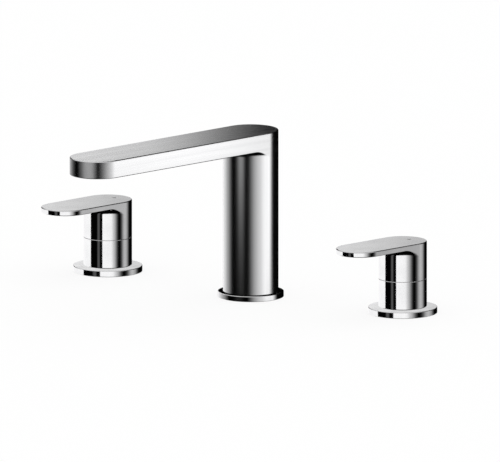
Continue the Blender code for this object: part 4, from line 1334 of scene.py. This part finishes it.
def light_handles():
    """Far cards for the round hubs, and a near one behind each handle for its flat top."""
    trims = lit_pieces("lit_as_handles", ("hot_", "cold_"))
    far = HANDLE_CARD_DISTANCE
    heights = ((-1.9, 1.0), (0.0, 1.0))
    left = ((-180, 1.04), (-90, 1.04))
    studio_card("handle_left", trims, facing=-135.0, distance=far, stops=left, heights=heights)
    line = ((-56, 0.0), (-51, 0.08), (-45, 0.09), (-40, 0.0))
    studio_card("handle_line", trims, facing=-48.0, distance=far, stops=line, heights=heights)
    front = (
        (-28, 1.04), (10, 1.02), (16, 0.98), (20, 0.86), (24, 0.72), (28, 0.60),
        (32, 0.52), (37, 0.335), (42, 0.17), (47, 0.05), (53, 0.0),
    )
    studio_card("handle_front", trims, facing=12.5, distance=far, stops=front, heights=heights)
    right = (
        (60, 0.0), (66, 0.02), (72, 0.10), (77, 0.24), (81, 0.36), (87, 0.485),
        (94, 0.54), (101, 0.455), (109, 0.325), (117, 0.10), (126, 0.0),
    )
    studio_card("handle_right", trims, facing=93.0, distance=far, stops=right, heights=heights)

    heights = (
        (0.03, 0.0), (0.06, 1.3), (0.094, 1.3), (0.10, 0.0), (0.118, 0.0), (0.125, 1.0),
        (0.17, 1.0), (0.185, 0.0),
    )
    top = ((165, 0.515), (178, 0.55), (188, 0.74), (200, 0.77))
    for side in ("hot", "cold"):
        seen_by = lit_pieces(f"lit_as_{side}_top", (f"{side}_",))
        studio_card(
            f"{side}_top",
            seen_by,
            facing=180.0,
            distance=HANDLE_TOP_DISTANCE,
            stops=top,
            heights=heights,
            foot=valve_place(side),
        )


def light_spout():
    """Near cards, whose edges the column and the arm's round tip see at different angles."""
    spout = lit_pieces("lit_as_spout", ("spout", "aerator", "base", "swivel", "socket", "post"))
    left = (
        (-166, 1.15), (-161, 1.075), (-142, 0.845), (-130, 0.73), (-120, 0.576), (-112.5, 0.435),
        (-104, 0.32), (-98, 0.23), (-93, 0.128), (-88, 0.058), (-82, 0.0),
    )
    heights = ((-0.25, 1.0), (0.16, 1.0))
    studio_card("spout_left", spout, facing=-130.5, distance=0.294, stops=left, heights=heights)
    grey = (
        (-66, 0.0), (-61, 0.13), (-56, 0.30), (-52, 0.55), (-47, 0.92), (-42, 1.0),
        (-36, 1.0), (-32, 0.80), (-28, 0.42), (-23, 0.13), (-19, 0.0),
    )
    fade = (
        (-0.09, 0.0), (-0.05, 0.0165), (-0.025, 0.043), (0.0, 0.08),
        (0.028, 0.155), (0.058, 0.241), (0.107, 0.343), (0.16, 0.381),
    )
    studio_card("spout_grey", spout, facing=-45.0, distance=0.34, stops=grey, heights=fade)
    right = (
        (-11, 0.0), (-5, 0.04), (-1, 0.098), (3, 0.161), (7, 0.224), (11, 0.299), (15, 0.374),
        (19, 0.431), (23, 0.495), (30, 0.604), (39, 0.713), (48, 0.886), (55, 1.012), (61, 1.047),
        (72, 1.047), (77, 1.127), (82.5, 1.104), (87.8, 0.828), (94, 0.40), (101, 0.069), (105, 0.0),
    )
    heights = ((-0.42, 0.70), (-0.14, 0.78), (-0.08, 1.0), (0.16, 1.0))
    studio_card("spout_right", spout, facing=32.0, distance=0.45, stops=right, heights=heights)
    top = (
        (168, 0.0), (174, 0.007), (177.2, 0.014), (178.9, 0.04), (180.7, 0.09), (183.1, 0.166),
        (185.7, 0.282), (189.1, 0.437), (194, 0.62), (202.8, 0.76), (212, 0.78),
    )
    heights = ((0.15, 0.0), (0.18, 1.0), (0.27, 1.0), (0.29, 0.0))
    studio_card("spout_top", spout, facing=180.0, distance=0.35, stops=top, heights=heights)


def build_lamps():
    """All cards. Only the floor may block them and it casts no shadow, so each card is seen whole."""
    light_handles()
    light_spout()
    clear = bpy.data.collections.new("blocks_no_card")
    clear.objects.link(bpy.data.objects["floor"])
    for obj in bpy.data.objects:
        if obj.type == "LIGHT":
            obj.light_linking.blocker_collection = clear


class BATHFILLER_OT_stage(bpy.types.Operator):
    """Build the floor, the camera, the surroundings and the lamps"""

    bl_idname = "bath_filler.stage"
    bl_label = "Studio"

    def execute(self, context):
        settings = context.scene.bath_filler_studio
        context.scene.view_settings.view_transform = "Standard"
        build_floor(settings)
        build_camera(settings)
        build_surroundings()
        build_lamps()
        return {"FINISHED"}


class BATHFILLER_PT_panel(bpy.types.Panel):
    """Sizes, finishes and the steps that build the bath filler"""

    bl_label = "Bath Filler"
    bl_space_type = "VIEW_3D"
    bl_region_type = "UI"
    bl_category = "Bath Filler"

    def draw(self, context):
        for group in ("spout", "handle", "finish", "studio"):
            settings = getattr(context.scene, f"bath_filler_{group}")
            box = self.layout.box()
            box.label(text=group.title())
            for name in settings.bl_rna.properties.keys():
                if name not in ("rna_type", "name"):
                    box.prop(settings, name)
        for operator in OPERATORS:
            self.layout.operator(operator.bl_idname)


OPERATORS = (
    BATHFILLER_OT_spout,
    BATHFILLER_OT_aerator,
    BATHFILLER_OT_base_ring,
    BATHFILLER_OT_valve_trims,
    BATHFILLER_OT_levers,
    BATHFILLER_OT_fittings,
    BATHFILLER_OT_stage,
)
SETTINGS = {
    "bath_filler_spout": SpoutSizes,
    "bath_filler_handle": HandleSizes,
    "bath_filler_finish": FinishSettings,
    "bath_filler_studio": StudioSettings,
}


def register():
    for name, group in SETTINGS.items():
        bpy.utils.register_class(group)
        setattr(bpy.types.Scene, name, bpy.props.PointerProperty(type=group))
    for operator in OPERATORS:
        bpy.utils.register_class(operator)
    bpy.utils.register_class(BATHFILLER_PT_panel)


def unregister():
    bpy.utils.unregister_class(BATHFILLER_PT_panel)
    for operator in reversed(OPERATORS):
        bpy.utils.unregister_class(operator)
    for name, group in SETTINGS.items():
        delattr(bpy.types.Scene, name)
        bpy.utils.unregister_class(group)


def main():
    """Builds everything in order."""
    register()
    bpy.ops.bath_filler.spout()
    bpy.ops.bath_filler.aerator()
    bpy.ops.bath_filler.base_ring()
    bpy.ops.bath_filler.valve_trims()
    bpy.ops.bath_filler.levers()
    bpy.ops.bath_filler.fittings()
    bpy.ops.bath_filler.stage()


if __name__ == "__main__":
    main()
